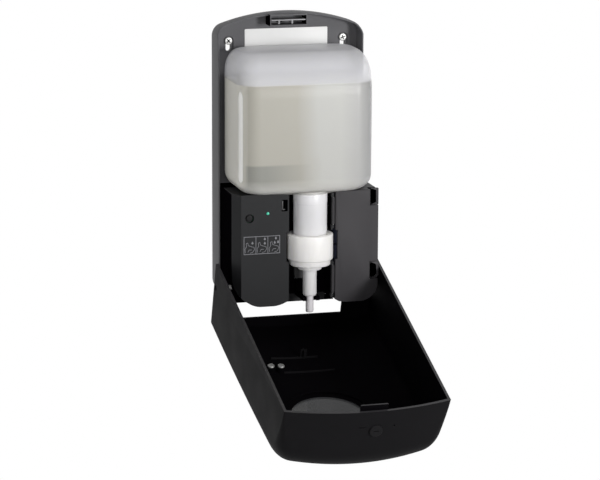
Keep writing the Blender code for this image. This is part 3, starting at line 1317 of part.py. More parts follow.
def valve_ball():
    """Steel ball on the seat of the cylinder's inlet."""
    rest = sqrt(VALVE_BALL_RADIUS ** 2 - INLET_RADIUS ** 2)
    centre = pump_axis() + Vector((0, 0, CYLINDER_TOP + rest + GAP))

    def fill(shape):
        made = bmesh.ops.create_uvsphere(shape, u_segments=BALL_SEGMENTS, v_segments=BALL_RINGS,
                                         radius=VALVE_BALL_RADIUS)
        bmesh.ops.translate(shape, verts=made["verts"], vec=centre)
    return smooth(build("valve_ball", fill, steel()))


def cover_hinge():
    """Empty on the hinge axis that carries the open cover."""
    hinge = bpy.data.objects.new("cover_hinge_frame", None)
    bpy.context.scene.collection.objects.link(hinge)
    hinge.location = cover_pivot()
    hinge.rotation_euler = (COVER_OPEN_ANGLE, 0, 0)
    return hinge


def build_on_cover(hinge, name, mesh_maker, finish):
    """Make an object in the closed cover's place and carry it on the hinge."""
    made = build(name, mesh_maker, finish)
    made.data.transform(Matrix.Translation(-cover_pivot()))
    made.parent = hinge
    return made


def cover_back():
    """Front distance of the closed cover's rim."""
    return PLATE_DEPTH + RUNNING_GAP


def cover_half_width(height):
    """Half width of the closed cover at a height above its foot."""
    return COVER_HALF_WIDTH_FOOT - COVER_TAPER * height / COVER_SIDE_HEIGHT


def cover_profile(share, inset):
    """Depths and heights at a share of the half width, from the rim's foot round to its top."""
    bow = 1 - share * share
    depth = COVER_DEPTH + COVER_BULGE * bow - inset
    top = COVER_SIDE_HEIGHT + COVER_ARCH * bow - inset
    slope = COVER_TOP_DROP / COVER_DEPTH
    corner = COVER_TOP_ROUND - inset
    lean = atan2(COVER_TOP_DROP, COVER_DEPTH)
    centre_depth = depth - corner
    centre_height = top - slope * centre_depth - corner / cos(lean)
    points = [(0, 0), (depth, 0)]
    points += [(centre_depth + corner * cos(turn), centre_height + corner * sin(turn))
               for turn in [(pi / 2 - lean) * step / COVER_TOP_STEPS for step in range(COVER_TOP_STEPS + 1)]]
    points.append((0, top))
    return points


def cover_body(inset, back_run, foot_run):
    """Filler for the cover's solid form, inset all round and run past its rim and foot."""
    stations = [sin(pi / 2 * step / COVER_STATIONS) for step in range(-COVER_STATIONS, COVER_STATIONS + 1)]
    edge = COVER_EDGE_ROUND

    def fill(shape):
        loops = []
        for share in stations:
            ring = []
            for depth, height in cover_profile(share, inset):
                half = cover_half_width(height)
                side = share * (half - inset)
                beside = half - inset - abs(side)
                trim = edge - sqrt(max(edge ** 2 - max(edge - beside, 0) ** 2, 0)) if depth > 0 else 0
                run = back_run if depth == 0 else 0
                low = foot_run if height == 0 else 0
                ring.append(shape.verts.new((side, -(cover_back() + depth - trim - run),
                                             level(COVER_FOOT + height - low))))
            loops.append(ring)
        for first, second in zip(loops, loops[1:]):
            for index in range(len(first)):
                after = (index + 1) % len(first)
                shape.faces.new((first[index], first[after], second[after], second[index]))
        shape.faces.new(loops[0])
        shape.faces.new(list(reversed(loops[-1])))
    return fill


def cover_front(height, side):
    """Front distance of the closed cover's outer face at a side distance."""
    half = cover_half_width(height)
    return cover_back() + COVER_DEPTH + COVER_BULGE * (1 - (side / half) ** 2)


def cover_shell(hinge):
    """Deep moulded cover, open at its back and notched in its foot."""
    shell = build_on_cover(hinge, "cover_shell", cover_body(0, 0, 0), black())
    cut(shell, build_on_cover(hinge, "cover_hollow", cover_body(COVER_WALL, OVERRUN, -COVER_WALL), None))
    foot_top = COVER_FOOT + COVER_WALL + OVERRUN
    wide = COVER_HALF_WIDTH_FOOT - COVER_WALL - 2 * GAP
    ledge = cover_back() + COVER_LEDGE_START
    cut(shell, build_on_cover(hinge, "foot_opening", block(-wide, wide, cover_back() - OVERRUN, ledge,
                                                           COVER_FOOT - OVERRUN, foot_top), None))
    cut(shell, build_on_cover(hinge, "foot_notch", block(
        -COVER_NOTCH_HALF_WIDTH, COVER_NOTCH_HALF_WIDTH, ledge - OVERRUN, cover_back() + COVER_NOTCH_FRONT,
        COVER_FOOT - OVERRUN, foot_top), None))
    window = Vector((0, 0, level(COVER_FOOT + WINDOW_CENTRE)))
    inner_front = cover_front(WINDOW_CENTRE, 0) - COVER_WALL
    ring_back = inner_front - WINDOW_RING_HEIGHT
    outer_front = cover_front(WINDOW_CENTRE, 0)
    boss = rod(WINDOW_RING_RADIUS, ring_back, outer_front - COVER_WALL + GAP / 2)
    join(shell, build_on_cover(hinge, "window_boss", turned(boss, window, "Y", BOSS_STEPS), None))
    cut(shell, build_on_cover(hinge, "window_hole", turned(
        rod(WINDOW_RADIUS, ring_back - OVERRUN, outer_front + OVERRUN), window, "Y", HOLE_STEPS), None))
    for name, height in zip(("lower", "upper"), RIB_HEIGHTS):
        sides = [RIB_HALF_WIDTH * (2 * step / RIB_STEPS - 1) for step in range(RIB_STEPS + 1)]
        near = [(side, cover_front(height, side) - COVER_WALL / 2) for side in sides]
        far = [(side, cover_front(height, side) - COVER_WALL - RIB_RISE) for side in reversed(sides)]
        rib = upright_prism(near + far, COVER_FOOT + height - RIB_THICKNESS / 2,
                            COVER_FOOT + height + RIB_THICKNESS / 2)
        join(shell, build_on_cover(hinge, f"rib_{name}", rib, None))
    add_tongue(hinge, shell)
    lock = lock_place()
    cut(shell, build_on_cover(hinge, "lock_hole", turned(
        rod(LOCK_RADIUS + GAP, -COVER_TOP_ROUND, OVERRUN * 2), lock, "Z", FINE_STEPS), None))
    bore_end = COVER_HALF_WIDTH_FOOT + OVERRUN
    pin = turned(rod(HINGE_PIN_RADIUS + GAP, -bore_end, bore_end), cover_pivot(), "X", FINE_STEPS)
    for name, inner, outer in hinge_bosses():
        boss = turned(rod(HINGE_BOSS_RADIUS, inner, outer), cover_pivot(), "X", FINE_STEPS)
        join(shell, build_on_cover(hinge, f"hinge_boss_{name}", boss, None))
    cut(shell, build_on_cover(hinge, "hinge_pin_bore", pin, None))
    for index, side in enumerate(MAGNET_SIDES, start=1):
        place = Vector((side, 0, level(COVER_FOOT + MAGNET_HEIGHT)))
        seat = cover_front(MAGNET_HEIGHT, side) - COVER_WALL
        boss = rod(MAGNET_BOSS_RADIUS, seat - MAGNET_BOSS_HEIGHT, seat + COVER_WALL / 2)
        join(shell, build_on_cover(hinge, f"magnet_boss_{index}",
                                   turned(boss, place, "Y", FINE_STEPS), None))
        pocket = rod(MAGNET_RADIUS + GAP, seat - MAGNET_BOSS_HEIGHT - OVERRUN,
                     seat - MAGNET_BOSS_HEIGHT + MAGNET_SINK)
        pocket_filler = turned(pocket, place, "Y", FINE_STEPS)
        cut(shell, build_on_cover(hinge, f"magnet_pocket_{index}", pocket_filler, None))
    return smooth(shell)


def hinge_bosses():
    """Side limits of the bosses inside the cover's cheeks."""
    outer = COVER_HALF_WIDTH_FOOT - COVER_WALL / 2
    return (("left", -outer, HOUSING_LEFT - RUNNING_GAP), ("right", HOUSING_RIGHT + RUNNING_GAP, outer))


def add_tongue(hinge, shell):
    """Wide hook on the inside of the cover's top that reaches over the catch."""
    ceiling = COVER_FOOT + COVER_SIDE_HEIGHT + COVER_ARCH
    bottom = catch_top() + GAP
    top = bottom + TONGUE_THICKNESS
    back = cover_back() - TONGUE_REACH
    front = cover_back() + TONGUE_ROOT
    left, right = LATCH_SIDE - TONGUE_HALF_WIDTH, LATCH_SIDE + TONGUE_HALF_WIDTH
    join(shell, build_on_cover(hinge, "tongue", block(left, right, back, front, bottom, top), None))
    join(shell, build_on_cover(hinge, "tongue_root", block(
        left + GAP, right - GAP, front - TONGUE_ROOT_THICKNESS, front - GAP, bottom + GAP,
        ceiling - COVER_WALL), None))


def catch_top():
    """Height of the catch's upper face."""
    return LATCH_BOTTOM + LATCH_WALL + CATCH_LIFT + CATCH_THICKNESS


def lock_place():
    """Point on the lock's axis at the height of the closed cover's top face."""
    slope = COVER_TOP_DROP / COVER_DEPTH
    share = LOCK_SIDE / COVER_HALF_WIDTH_TOP
    top = COVER_SIDE_HEIGHT + COVER_ARCH * (1 - share ** 2) - slope * LOCK_DEPTH
    return Vector((LOCK_SIDE, -(cover_back() + LOCK_DEPTH), level(COVER_FOOT + top)))


def lock_parts(hinge):
    """Barrel that turns in the cover's top, and the cam on its inner end."""
    place = lock_place()
    lock = bpy.data.objects.new("lock_frame", None)
    bpy.context.scene.collection.objects.link(lock)
    lock.parent = hinge
    lock.location = place - cover_pivot()
    slope = COVER_TOP_DROP / COVER_DEPTH
    head = LOCK_HEAD + slope * LOCK_RADIUS
    profile = rod(LOCK_RADIUS, -LOCK_BODY_LENGTH, head)
    barrel = build("lock_barrel", turned(profile, Vector((0, 0, 0)), "Z", FINE_STEPS), black())
    barrel.parent = lock
    half_slot = LOCK_RADIUS * LOCK_SLOT_SHARE
    slot = build("lock_slot", free_block(half_slot, LOCK_SLOT_WIDTH / 2, head - LOCK_SLOT_DEPTH,
                                         head + OVERRUN), None)
    slot.parent = lock
    cut(barrel, slot)
    post = build("lock_post", turned(rod(LOCK_POST_RADIUS, -LOCK_BODY_LENGTH - LOCK_CAM_THICKNESS - 2 * GAP,
                                         -LOCK_BODY_LENGTH / 2), Vector((0, 0, 0)), "Z", FINE_STEPS), None)
    post.parent = lock
    join(barrel, post)
    smooth(barrel)
    cam_top = -LOCK_BODY_LENGTH - GAP
    cam = build("lock_cam", free_block(LOCK_CAM_LENGTH, half_slot, cam_top - LOCK_CAM_THICKNESS, cam_top),
                steel())
    cam.parent = lock
    bore = build("lock_cam_bore", turned(rod(LOCK_POST_RADIUS + GAP, cam_top - LOCK_CAM_THICKNESS - OVERRUN,
                                             cam_top + OVERRUN), Vector((0, 0, 0)), "Z", FINE_STEPS), None)
    bore.parent = lock
    cut(cam, bore)


def free_block(half_length, half_width, bottom, top):
    """Filler for a box centred on its own axis."""
    def fill(shape):
        corners = [(-half_length, -half_width), (half_length, -half_width), (half_length, half_width),
                   (-half_length, half_width)]
        low = [shape.verts.new((across, over, bottom)) for across, over in corners]
        high = [shape.verts.new((across, over, top)) for across, over in corners]
        shape.faces.new(list(reversed(low)))
        shape.faces.new(high)
        for index in range(4):
            after = (index + 1) % 4
            shape.faces.new((low[index], low[after], high[after], high[index]))
    return fill


def sight_window(hinge):
    """Tinted round window set in the cover's front."""
    place = Vector((0, 0, level(COVER_FOOT + WINDOW_CENTRE)))
    edge_front = cover_front(WINDOW_CENTRE, WINDOW_RADIUS)
    back = edge_front - WINDOW_SEAT - WINDOW_THICKNESS
    return smooth(build_on_cover(hinge, "sight_window", turned(
        rod(WINDOW_RADIUS - GAP, back, back + WINDOW_THICKNESS), place, "Y"), material(
            "smoked_window", (0.10, 0.11, 0.11), 0.1)))


def cover_magnets(hinge):
    """Two small discs in the cover that tell the board when it is shut."""
    for index, side in enumerate(MAGNET_SIDES, start=1):
        place = Vector((side, 0, level(COVER_FOOT + MAGNET_HEIGHT)))
        seat = cover_front(MAGNET_HEIGHT, side) - COVER_WALL - MAGNET_BOSS_HEIGHT + MAGNET_SINK - GAP
        disc = turned(rod(MAGNET_RADIUS, seat - MAGNET_THICKNESS, seat), place, "Y", FINE_STEPS)
        smooth(build_on_cover(hinge, f"cover_magnet_{index}", disc, steel()))


def hinge_pins():
    """Two short pins through the cover's cheeks into the housing."""
    outer = COVER_HALF_WIDTH_FOOT - COVER_WALL / 2
    spans = (("left", -outer, HOUSING_LEFT + HINGE_PIN_REACH),
             ("right", HOUSING_RIGHT - HINGE_PIN_REACH, outer))
    for name, start, end in spans:
        pin = turned(rod(HINGE_PIN_RADIUS, start, end), cover_pivot(), "X", FINE_STEPS)
        smooth(build(f"hinge_pin_{name}", pin, steel()))


def clear_scene():
    """Remove whatever the scene starts with."""
    for item in list(bpy.data.objects):
        bpy.data.objects.remove(item)


def main():
    clear_scene()
    back_plate()
    cover_catch()
    wall_screws()
    label_plate()
    rear_chassis()
    housing_shell()
    battery_door()
    door_pins()
    cells()
    dose_button()
    led_lens()
    dose_guide()
    neck_clip()
    circuit_board()
    sensor_window()
    sensor_board()
    gear_frame()
    gear_shafts()
    drive_gear()
    idler_gear()
    motor_parts()
    lift_carriage()
    lift_fork()
    bottle()
    soap()
    pump_closure()
    gasket()
    pump_cylinder()
    pump_stem()
    nozzle_tip()
    valve_ball()
    hinge = cover_hinge()
    cover_shell(hinge)
    sight_window(hinge)
    cover_magnets(hinge)
    lock_parts(hinge)
    hinge_pins()


if __name__ == "__main__":
    main()
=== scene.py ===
"""Looks of a wall-mounted foam soap dispenser with its front cover swung open.

Metres, +Z up, the wall behind the part at y = 0 and the user on the -Y side. Pieces are
described by a side distance from the centre line, a front distance from the wall and a
height from the plate's bottom edge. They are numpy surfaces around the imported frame.
"""
from __future__ import annotations

import json
import logging
from dataclasses import dataclass
from enum import Enum

import bmesh
import bpy
import numpy as np
from mathutils import Matrix, Vector

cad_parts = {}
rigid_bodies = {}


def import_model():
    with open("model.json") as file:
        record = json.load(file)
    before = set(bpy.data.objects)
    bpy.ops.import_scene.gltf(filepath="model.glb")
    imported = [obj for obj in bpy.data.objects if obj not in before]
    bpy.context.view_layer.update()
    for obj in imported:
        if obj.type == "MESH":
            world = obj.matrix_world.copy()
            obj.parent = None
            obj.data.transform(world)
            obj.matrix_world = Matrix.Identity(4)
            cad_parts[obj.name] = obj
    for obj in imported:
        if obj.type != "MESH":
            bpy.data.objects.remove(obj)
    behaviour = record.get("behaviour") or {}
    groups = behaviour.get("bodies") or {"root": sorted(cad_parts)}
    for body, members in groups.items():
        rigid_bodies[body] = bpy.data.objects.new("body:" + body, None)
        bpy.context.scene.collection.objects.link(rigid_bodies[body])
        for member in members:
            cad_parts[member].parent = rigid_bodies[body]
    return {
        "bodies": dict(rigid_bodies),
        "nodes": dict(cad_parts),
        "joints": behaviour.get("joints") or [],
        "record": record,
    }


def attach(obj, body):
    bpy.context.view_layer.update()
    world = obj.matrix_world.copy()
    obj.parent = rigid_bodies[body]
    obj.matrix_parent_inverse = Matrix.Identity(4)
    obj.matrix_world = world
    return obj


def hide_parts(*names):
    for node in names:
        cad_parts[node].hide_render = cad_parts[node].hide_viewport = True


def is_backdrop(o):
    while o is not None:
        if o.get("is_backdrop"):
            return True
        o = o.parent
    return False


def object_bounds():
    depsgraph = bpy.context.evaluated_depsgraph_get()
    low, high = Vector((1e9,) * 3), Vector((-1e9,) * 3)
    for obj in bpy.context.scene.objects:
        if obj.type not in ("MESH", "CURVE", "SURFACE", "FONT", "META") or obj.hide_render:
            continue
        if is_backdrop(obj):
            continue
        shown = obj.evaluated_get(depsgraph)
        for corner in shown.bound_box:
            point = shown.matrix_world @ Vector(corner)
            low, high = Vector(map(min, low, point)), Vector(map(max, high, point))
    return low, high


Piece = bpy.types.Object
Socket = bpy.types.NodeSocket

LOG = logging.getLogger("dispenser")
INNER_MARK = "inner_face"
DUST_COLOUR = (0.55, 0.54, 0.52)
HANDLING_SCALE, DUST_SCALE = 38.0, 900.0

PLATE_HEIGHT = 0.265
FIT = 0.0003
OVERRUN = 0.004
CATCH_TOP = 0.2591
FACE = 0.0711
HOUSE_RIGHT, HOUSE_TOP = 0.0716, 0.1055
DOOR_THICKNESS = 0.0024
DOOR_HINGE_SIDE = 0.0280
CLASP_HEIGHTS = (0.0988, 0.0292)
COLLAR_NOTCH = (0.0414, 0.0688)
BUTTON_PLACE = (-0.0516, 0.0838)
LENS_PLACE = (-0.0342, 0.0877)
PUMP_AXIS = (0.0065, 0.0683)
BOTTLE_FOOT, SOAP_LEVEL = 0.1062, 0.2082


class Axis(Enum):
    """Direction along which a piece is extruded or turned."""

    SIDE = "side"
    FRONT = "front"
    UP = "up"


class Join(Enum):
    """What a Boolean tool does to its target."""

    CUT = "DIFFERENCE"
    ADD = "UNION"


def at(side: float, front: float, height: float) -> Vector:
    """World point from side, front and height distances."""
    return Vector((side, -front, height - PLATE_HEIGHT / 2))


def to_world(side: np.ndarray, front: np.ndarray, height: np.ndarray) -> np.ndarray:
    """World points, last axis of length 3, from arrays of side, front and height."""
    side, front, height = np.broadcast_arrays(side, front, height)
    return np.stack((side, -front, height - PLATE_HEIGHT / 2), axis=-1)


def about(centre: float, half: float) -> tuple:
    """Limits at equal distances from a centre."""
    return centre - half, centre + half


def read_rows(items: bpy.types.bpy_prop_collection, key: str, kind: type = float) -> np.ndarray:
    """A property of three values, of all items of a collection, as rows."""
    values = np.empty(len(items) * 3, dtype=kind)
    items.foreach_get(key, values)
    return values.reshape(-1, 3)


def face_outwards(item: Piece) -> Piece:
    """Turn a closed mesh's faces outwards by the sign of its volume.

    The volume is the sum over triangles of the triple product of their corners over six.
    """
    mesh = item.data
    mesh.calc_loop_triangles()
    triangles = read_rows(mesh.loop_triangles, "vertices", np.int64)
    first, second, third = read_rows(mesh.vertices, "co")[triangles].transpose(1, 0, 2)
    if np.einsum("ij,ij->", first, np.cross(second, third)) < 0:
        mesh.flip_normals()
    return item


def linked(name: str, data: bpy.types.ID) -> Piece:
    """Object in the scene for a mesh, a lamp or a camera."""
    made = bpy.data.objects.new(name, data)
    bpy.context.scene.collection.objects.link(made)
    return made


def new_object(name: str, points: np.ndarray, faces: list) -> Piece:
    """Linked object, faces outwards, from world points and lists of vertex numbers."""
    mesh = bpy.data.meshes.new(name)
    mesh.from_pydata(points.reshape(-1, 3).tolist(), [], faces)
    mesh.validate()
    return face_outwards(linked(name, mesh))


def merge(item: Piece, distance: float = 1e-6) -> Piece:
    """Merge doubles and drop faces without area, then turn the faces outwards."""
    shape = bmesh.new()
    shape.from_mesh(item.data)
    bmesh.ops.remove_doubles(shape, verts=shape.verts, dist=distance)
    bmesh.ops.dissolve_degenerate(shape, edges=shape.edges, dist=distance)
    bmesh.ops.recalc_face_normals(shape, faces=shape.faces)
    shape.to_mesh(item.data)
    shape.free()
    return face_outwards(item)


def ring_faces(rows: int, columns: int, closed_rows: bool, closed_columns: bool, start: int = 0) -> list:
    """Quads of a grid of points as lists of vertex numbers, wrapped round where asked."""
    row = np.arange(rows if closed_rows else rows - 1)
    column = np.arange(columns if closed_columns else columns - 1)
    row, column = np.meshgrid(row, column, indexing="ij")
    below, beside = (row + 1) % rows, (column + 1) % columns
    quads = np.stack((row * columns + column, row * columns + beside, below * columns + beside,
                      below * columns + column), axis=-1)
    return (quads.reshape(-1, 4) + start).tolist()


def skin(name: str, rings: np.ndarray, closed: bool = False) -> Piece:
    """Closed surface through rings of points.

    Args:
        name: The object's name.
        rings: Array of shape (rings, points, 3); each ring is a closed loop.
        closed: True joins the last ring to the first; False caps both ends.

    Returns:
        The new object.
    """
    rows, columns = rings.shape[:2]
    faces = ring_faces(rows, columns, closed, True)
    if not closed:
        faces.append(list(range(columns))[::-1])
        faces.append(list(range((rows - 1) * columns, rows * columns)))
    return new_object(name, rings, faces)


def arc(centre: tuple, radius: float, start: float, end: float, steps: int) -> np.ndarray:
    """Points on a circle: centre plus radius times the cosine and sine of the turn."""
    turn = np.radians(np.linspace(start, end, steps + 1))
    return np.stack((centre[0] + radius * np.cos(turn), centre[1] + radius * np.sin(turn)), axis=-1)


def rounded(corners: list, radius: float | list, steps: int, closed: bool = True) -> np.ndarray:
    """Polyline with its corners rounded.

    Each corner becomes a rational quadratic curve between the two points that lie on its
    edges at the rounding distance, which is a close match to a circle for square corners.

    Args:
        corners: Points of two values.
        radius: One rounding distance, or one for each corner.
        steps: Steps along each rounding.
        closed: Whether the last point joins the first.

    Returns:
        Array of shape (n, 2).
    """
    weight = 0.62
    points = np.asarray(corners, dtype=float)
    sizes = np.broadcast_to(np.asarray(radius, dtype=float), len(points))
    share = np.linspace(0, 1, steps + 1)[:, None]
    blend = np.concatenate(((1 - share) ** 2, 2 * weight * share * (1 - share), share ** 2), axis=1)
    blend /= blend.sum(axis=1, keepdims=True)
    pieces = []
    for index, (corner, size) in enumerate(zip(points, sizes)):
        if size <= 0 or (index in (0, len(points) - 1) and not closed):
            pieces.append(corner[None])
            continue
        edges = np.stack((points[index - 1], points[(index + 1) % len(points)])) - corner
        lengths = np.linalg.norm(edges, axis=1, keepdims=True)
        first, last = corner + edges / lengths * min(size, 0.49 * lengths.min())
        pieces.append(blend @ np.stack((first, corner, last)))
    return np.concatenate(pieces)


def turned(outline: np.ndarray, centre: tuple, degrees: float) -> np.ndarray:
    """Outline turned about a point."""
    cosine, sine = np.cos(np.radians(degrees)), np.sin(np.radians(degrees))
    return (outline - np.array(centre)) @ np.array(((cosine, sine), (-sine, cosine))) + np.array(centre)


def stroke(points: list, width: float) -> np.ndarray:
    """Outline of a line of a given width through points, with mitred joints."""
    line = np.asarray(points, dtype=float)
    step = np.diff(line, axis=0)
    step /= np.linalg.norm(step, axis=1, keepdims=True)
    normal = np.stack((-step[:, 1], step[:, 0]), axis=-1)
    before = np.concatenate((normal[:1], normal))
    after = np.concatenate((normal, normal[-1:]))
    mitre = (before + after) / (1 + np.clip(np.sum(before * after, axis=1, keepdims=True), -0.5, 1))
    return np.concatenate((line - mitre * width / 2, (line + mitre * width / 2)[::-1]))


def outward(outline: np.ndarray) -> np.ndarray:
    """Mitred outward offsets of a closed outline.

    The offset at a point is the sum of its two edge normals over one plus their product.
    """
    after = np.roll(outline, -1, axis=0)
    area = np.sum(outline[:, 0] * after[:, 1] - after[:, 0] * outline[:, 1])
    edge = after - outline
    edge /= np.maximum(np.linalg.norm(edge, axis=1, keepdims=True), 1e-12)
    normal = np.stack((edge[:, 1], -edge[:, 0]), axis=-1) * np.sign(area)
    before = np.roll(normal, 1, axis=0)
    product = np.clip(np.sum(normal * before, axis=1, keepdims=True), -0.7, 1)
    return (normal + before) / (1 + product)


def slab(name: str, outline: np.ndarray, steps: list, along: Axis = Axis.FRONT) -> Piece:
    """Solid with an outline that moves inwards step by step along an axis.

    Args:
        name: The object's name.
        outline: Side and height for FRONT, front and height for SIDE, side and front for UP.
        steps: Pairs of inset and distance along the axis.
        along: The axis.

    Returns:
        The new object, capped at both ends.
    """
    inset, distance = np.asarray(steps, dtype=float).T
    ring = outline[None] - inset[:, None, None] * outward(outline)[None]
    across, over, depth = ring[..., 0], ring[..., 1], distance[:, None]
    order = {Axis.FRONT: (across, depth, over), Axis.SIDE: (depth, across, over),
             Axis.UP: (across, over, depth)}
    return skin(name, to_world(*order[along]))


def flat(low: float, high: float) -> list:
    """Steps of a slab with square edges."""
    return [(0, low), (0, high)]


def edge_round(near: float, far: float, radius: float, steps: int = 2) -> list:
    """Steps of a slab with quarter-round edges at its far end: inset r(1 - cos), depth r(1 - sin)."""
    turn = np.linspace(0, np.pi / 2, steps + 1)
    insets = radius * (1 - np.cos(turn))
    depths = far - np.sign(far - near) * radius * (1 - np.sin(turn))
    return [(0, near), *zip(insets, depths)]


def both_round(near: float, far: float, radius: float = 0.0003) -> list:
    """Steps of a slab with quarter-round edges at both ends."""
    return edge_round(far, near, radius)[:0:-1] + edge_round(near, far, radius)[1:]


def box_outline(low_x: float, high_x: float, low_y: float, high_y: float) -> np.ndarray:
    """Corners of a rectangle."""
    return np.array([(low_x, low_y), (high_x, low_y), (high_x, high_y), (low_x, high_y)])


def block(name: str, side: tuple, front: tuple, height: tuple) -> Piece:
    """Box between limits of side, front and height."""
    return slab(name, box_outline(*side, *height), flat(*front))


def pad(name: str, limits: tuple, corner: float | tuple, count: int, steps: list,
        along: Axis = Axis.FRONT) -> Piece:
    """Slab whose outline is a rectangle with rounded corners."""
    return slab(name, rounded(box_outline(*limits), corner, count), steps, along)


def lathe(name: str, profile: np.ndarray, centre: Vector, along: Axis = Axis.UP, steps: int = 96) -> Piece:
    """Surface of revolution: radius times the cosine and sine of the turn about an axis.

    Args:
        name: The object's name.
        profile: Radius and distance along the axis, closed on itself.
        centre: World point on the axis where the distance is zero.
        along: The axis of the turn.
        steps: Steps round the axis.

    Returns:
        The new object. A profile that touches the axis gives a solid with closed poles.
    """
    profile = np.asarray(profile, dtype=float)
    turn = np.linspace(0, 2 * np.pi, steps, endpoint=False)[None]
    across, over = profile[:, :1] * np.cos(turn), profile[:, :1] * np.sin(turn)
    reach = np.broadcast_to(profile[:, 1:], across.shape)
    order = {Axis.FRONT: (across, -reach, over), Axis.SIDE: (reach, across, over),
             Axis.UP: (across, over, reach)}
    solid = profile[0, 0] < 1e-9 and profile[-1, 0] < 1e-9
    return merge(skin(name, np.stack(order[along], axis=-1) + np.array(centre), closed=not solid))


def rod(name: str, radius: float, span: tuple, centre: Vector, along: Axis = Axis.UP,
        steps: int = 48) -> Piece:
    """Plain cylinder between two distances along an axis."""
    low, high = span
    return lathe(name, [(0, low), (radius, low), (radius, high), (0, high)], centre, along, steps)


def combine(target: Piece, tools: list, how: Join = Join.CUT) -> Piece:
    """Apply Booleans to a target's mesh and remove their tools.

    Args:
        target: The object that is changed.
        tools: Objects that are used up.
        how: Cut or add.

    Returns:
        The target.
    """
    for tool in tools:
        step = target.modifiers.new("join", "BOOLEAN")
        step.operation = how.value
        step.solver = "MANIFOLD"
        step.object = tool
        bpy.context.view_layer.update()
        ready = target.evaluated_get(bpy.context.evaluated_depsgraph_get())
        mesh = bpy.data.meshes.new_from_object(ready)
        target.modifiers.clear()
        old, target.data = target.data, mesh
        mesh.name = target.name
        bpy.data.meshes.remove(old)
        bpy.data.objects.remove(tool)
    return target


def soften(item: Piece, width: float, segments: int, angle: float) -> Piece:
    """Round the sharp edges of a piece and even out its shading."""
    step = item.modifiers.new("edge_round", "BEVEL")
    step.width = width
    step.segments = segments
    step.limit_method = "ANGLE"
    step.angle_limit = np.radians(angle)
    step.use_clamp_overlap = True
    step.harden_normals = False
    item.data.shade_smooth()
    weighted = item.modifiers.new("even_shading", "WEIGHTED_NORMAL")
    weighted.keep_sharp = True
    weighted.weight = 60
    return item


def face_marks(item: Piece) -> np.ndarray:
    """The marks of a mesh's faces, zero where there are none."""
    values = np.zeros(len(item.data.polygons), dtype=np.int32)
    marks = item.data.attributes.get(INNER_MARK)
    if marks:
        marks.data.foreach_get("value", values)
    return values


def set_marks(item: Piece, values: np.ndarray) -> Piece:
    """Mark the faces of a mesh with numbers that choose their finish."""
    marks = item.data.attributes.get(INNER_MARK) or item.data.attributes.new(INNER_MARK, "INT", "FACE")
    marks.data.foreach_set("value", values.astype(np.int32))
    return item


def mark_inner(item: Piece) -> Piece:
    """Mark all faces of a tool, so that the faces it leaves can take a second finish."""
    return set_marks(item, np.ones(len(item.data.polygons)))


def mark_region(item: Piece, side: tuple, front: tuple, height: tuple, value: int = 1) -> Piece:
    """Mark the faces whose centres lie in ranges of side, front and height."""
    places = read_rows(item.data.polygons, "center") * (1, -1, 1) + (0, 0, PLATE_HEIGHT / 2)
    low, high = np.array((side, front, height)).T
    hits = np.all((places > low) & (places < high), axis=1)
    return set_marks(item, np.where(hits, value, face_marks(item)))


class NodeBench:
    """Small helper that places, fills and links the nodes of one tree."""

    def __init__(self, tree: bpy.types.NodeTree, groups: SurfaceGroups | None = None) -> None:
        """Work on the given tree, with the shared groups where it uses them."""
        self.tree = tree
        self.groups = groups

    def put(self, node: bpy.types.Node, inputs: dict) -> None:
        """Set a node's inputs, by name or number, to constants or link them to sockets."""
        for name, value in inputs.items():
            if isinstance(value, Socket):
                self.tree.links.new(value, node.inputs[name])
            else:
                node.inputs[name].default_value = value

    def add(self, kind: str, inputs: dict | None = None, **values: object) -> bpy.types.Node:
        """Add a node, set its properties and fill its inputs."""
        node = self.tree.nodes.new(kind)
        for name, value in values.items():
            setattr(node, name, value)
        self.put(node, inputs or {})
        return node

    def math(self, operation: str, first: object, second: object) -> Socket:
        """A Math node on two sockets or numbers."""
        return self.add("ShaderNodeMath", {0: first, 1: second}, operation=operation).outputs[0]

    def times(self, first: object, second: object) -> Socket:
        """Product of two sockets or numbers."""
        return self.math("MULTIPLY", first, second)

    def noise(self, vector: Socket, scale: object, detail: float) -> Socket:
        """Value of a noise at a scale."""
        inputs = {"Vector": vector, "Scale": scale, "Detail": detail}
        return self.add("ShaderNodeTexNoise", inputs).outputs["Fac"]

    def ramp(self, value: Socket, low: float, high: float, first: float = 0.0, second: float = 1.0) -> Socket:
        """A value mapped from one range to another and clamped."""
        limits = {"Value": value, "From Min": low, "From Max": high, "To Min": first, "To Max": second}
        return self.add("ShaderNodeMapRange", limits).outputs["Result"]

    def mix(self, share: Socket, first: object, second: object) -> Socket:
        """Two colours, sockets or fixed, mixed by a mask."""
        ends = [(*colour, 1.0) if isinstance(colour, tuple) else colour for colour in (first, second)]
        return self.add("ShaderNodeMix", {0: share, 6: ends[0], 7: ends[1]}, data_type="RGBA").outputs[2]

    def grain(self, vector: Socket, scale: float, depth: float) -> Socket:
        """Normal of the mould grain."""
        cells = self.add("ShaderNodeGroup", {"Scale": scale, "Vector": vector}, node_tree=self.groups.grain)
        bump = {"Strength": 0.5, "Distance": depth, "Height": cells.outputs["Height"]}
        return self.add("ShaderNodeBump", bump).outputs["Normal"]


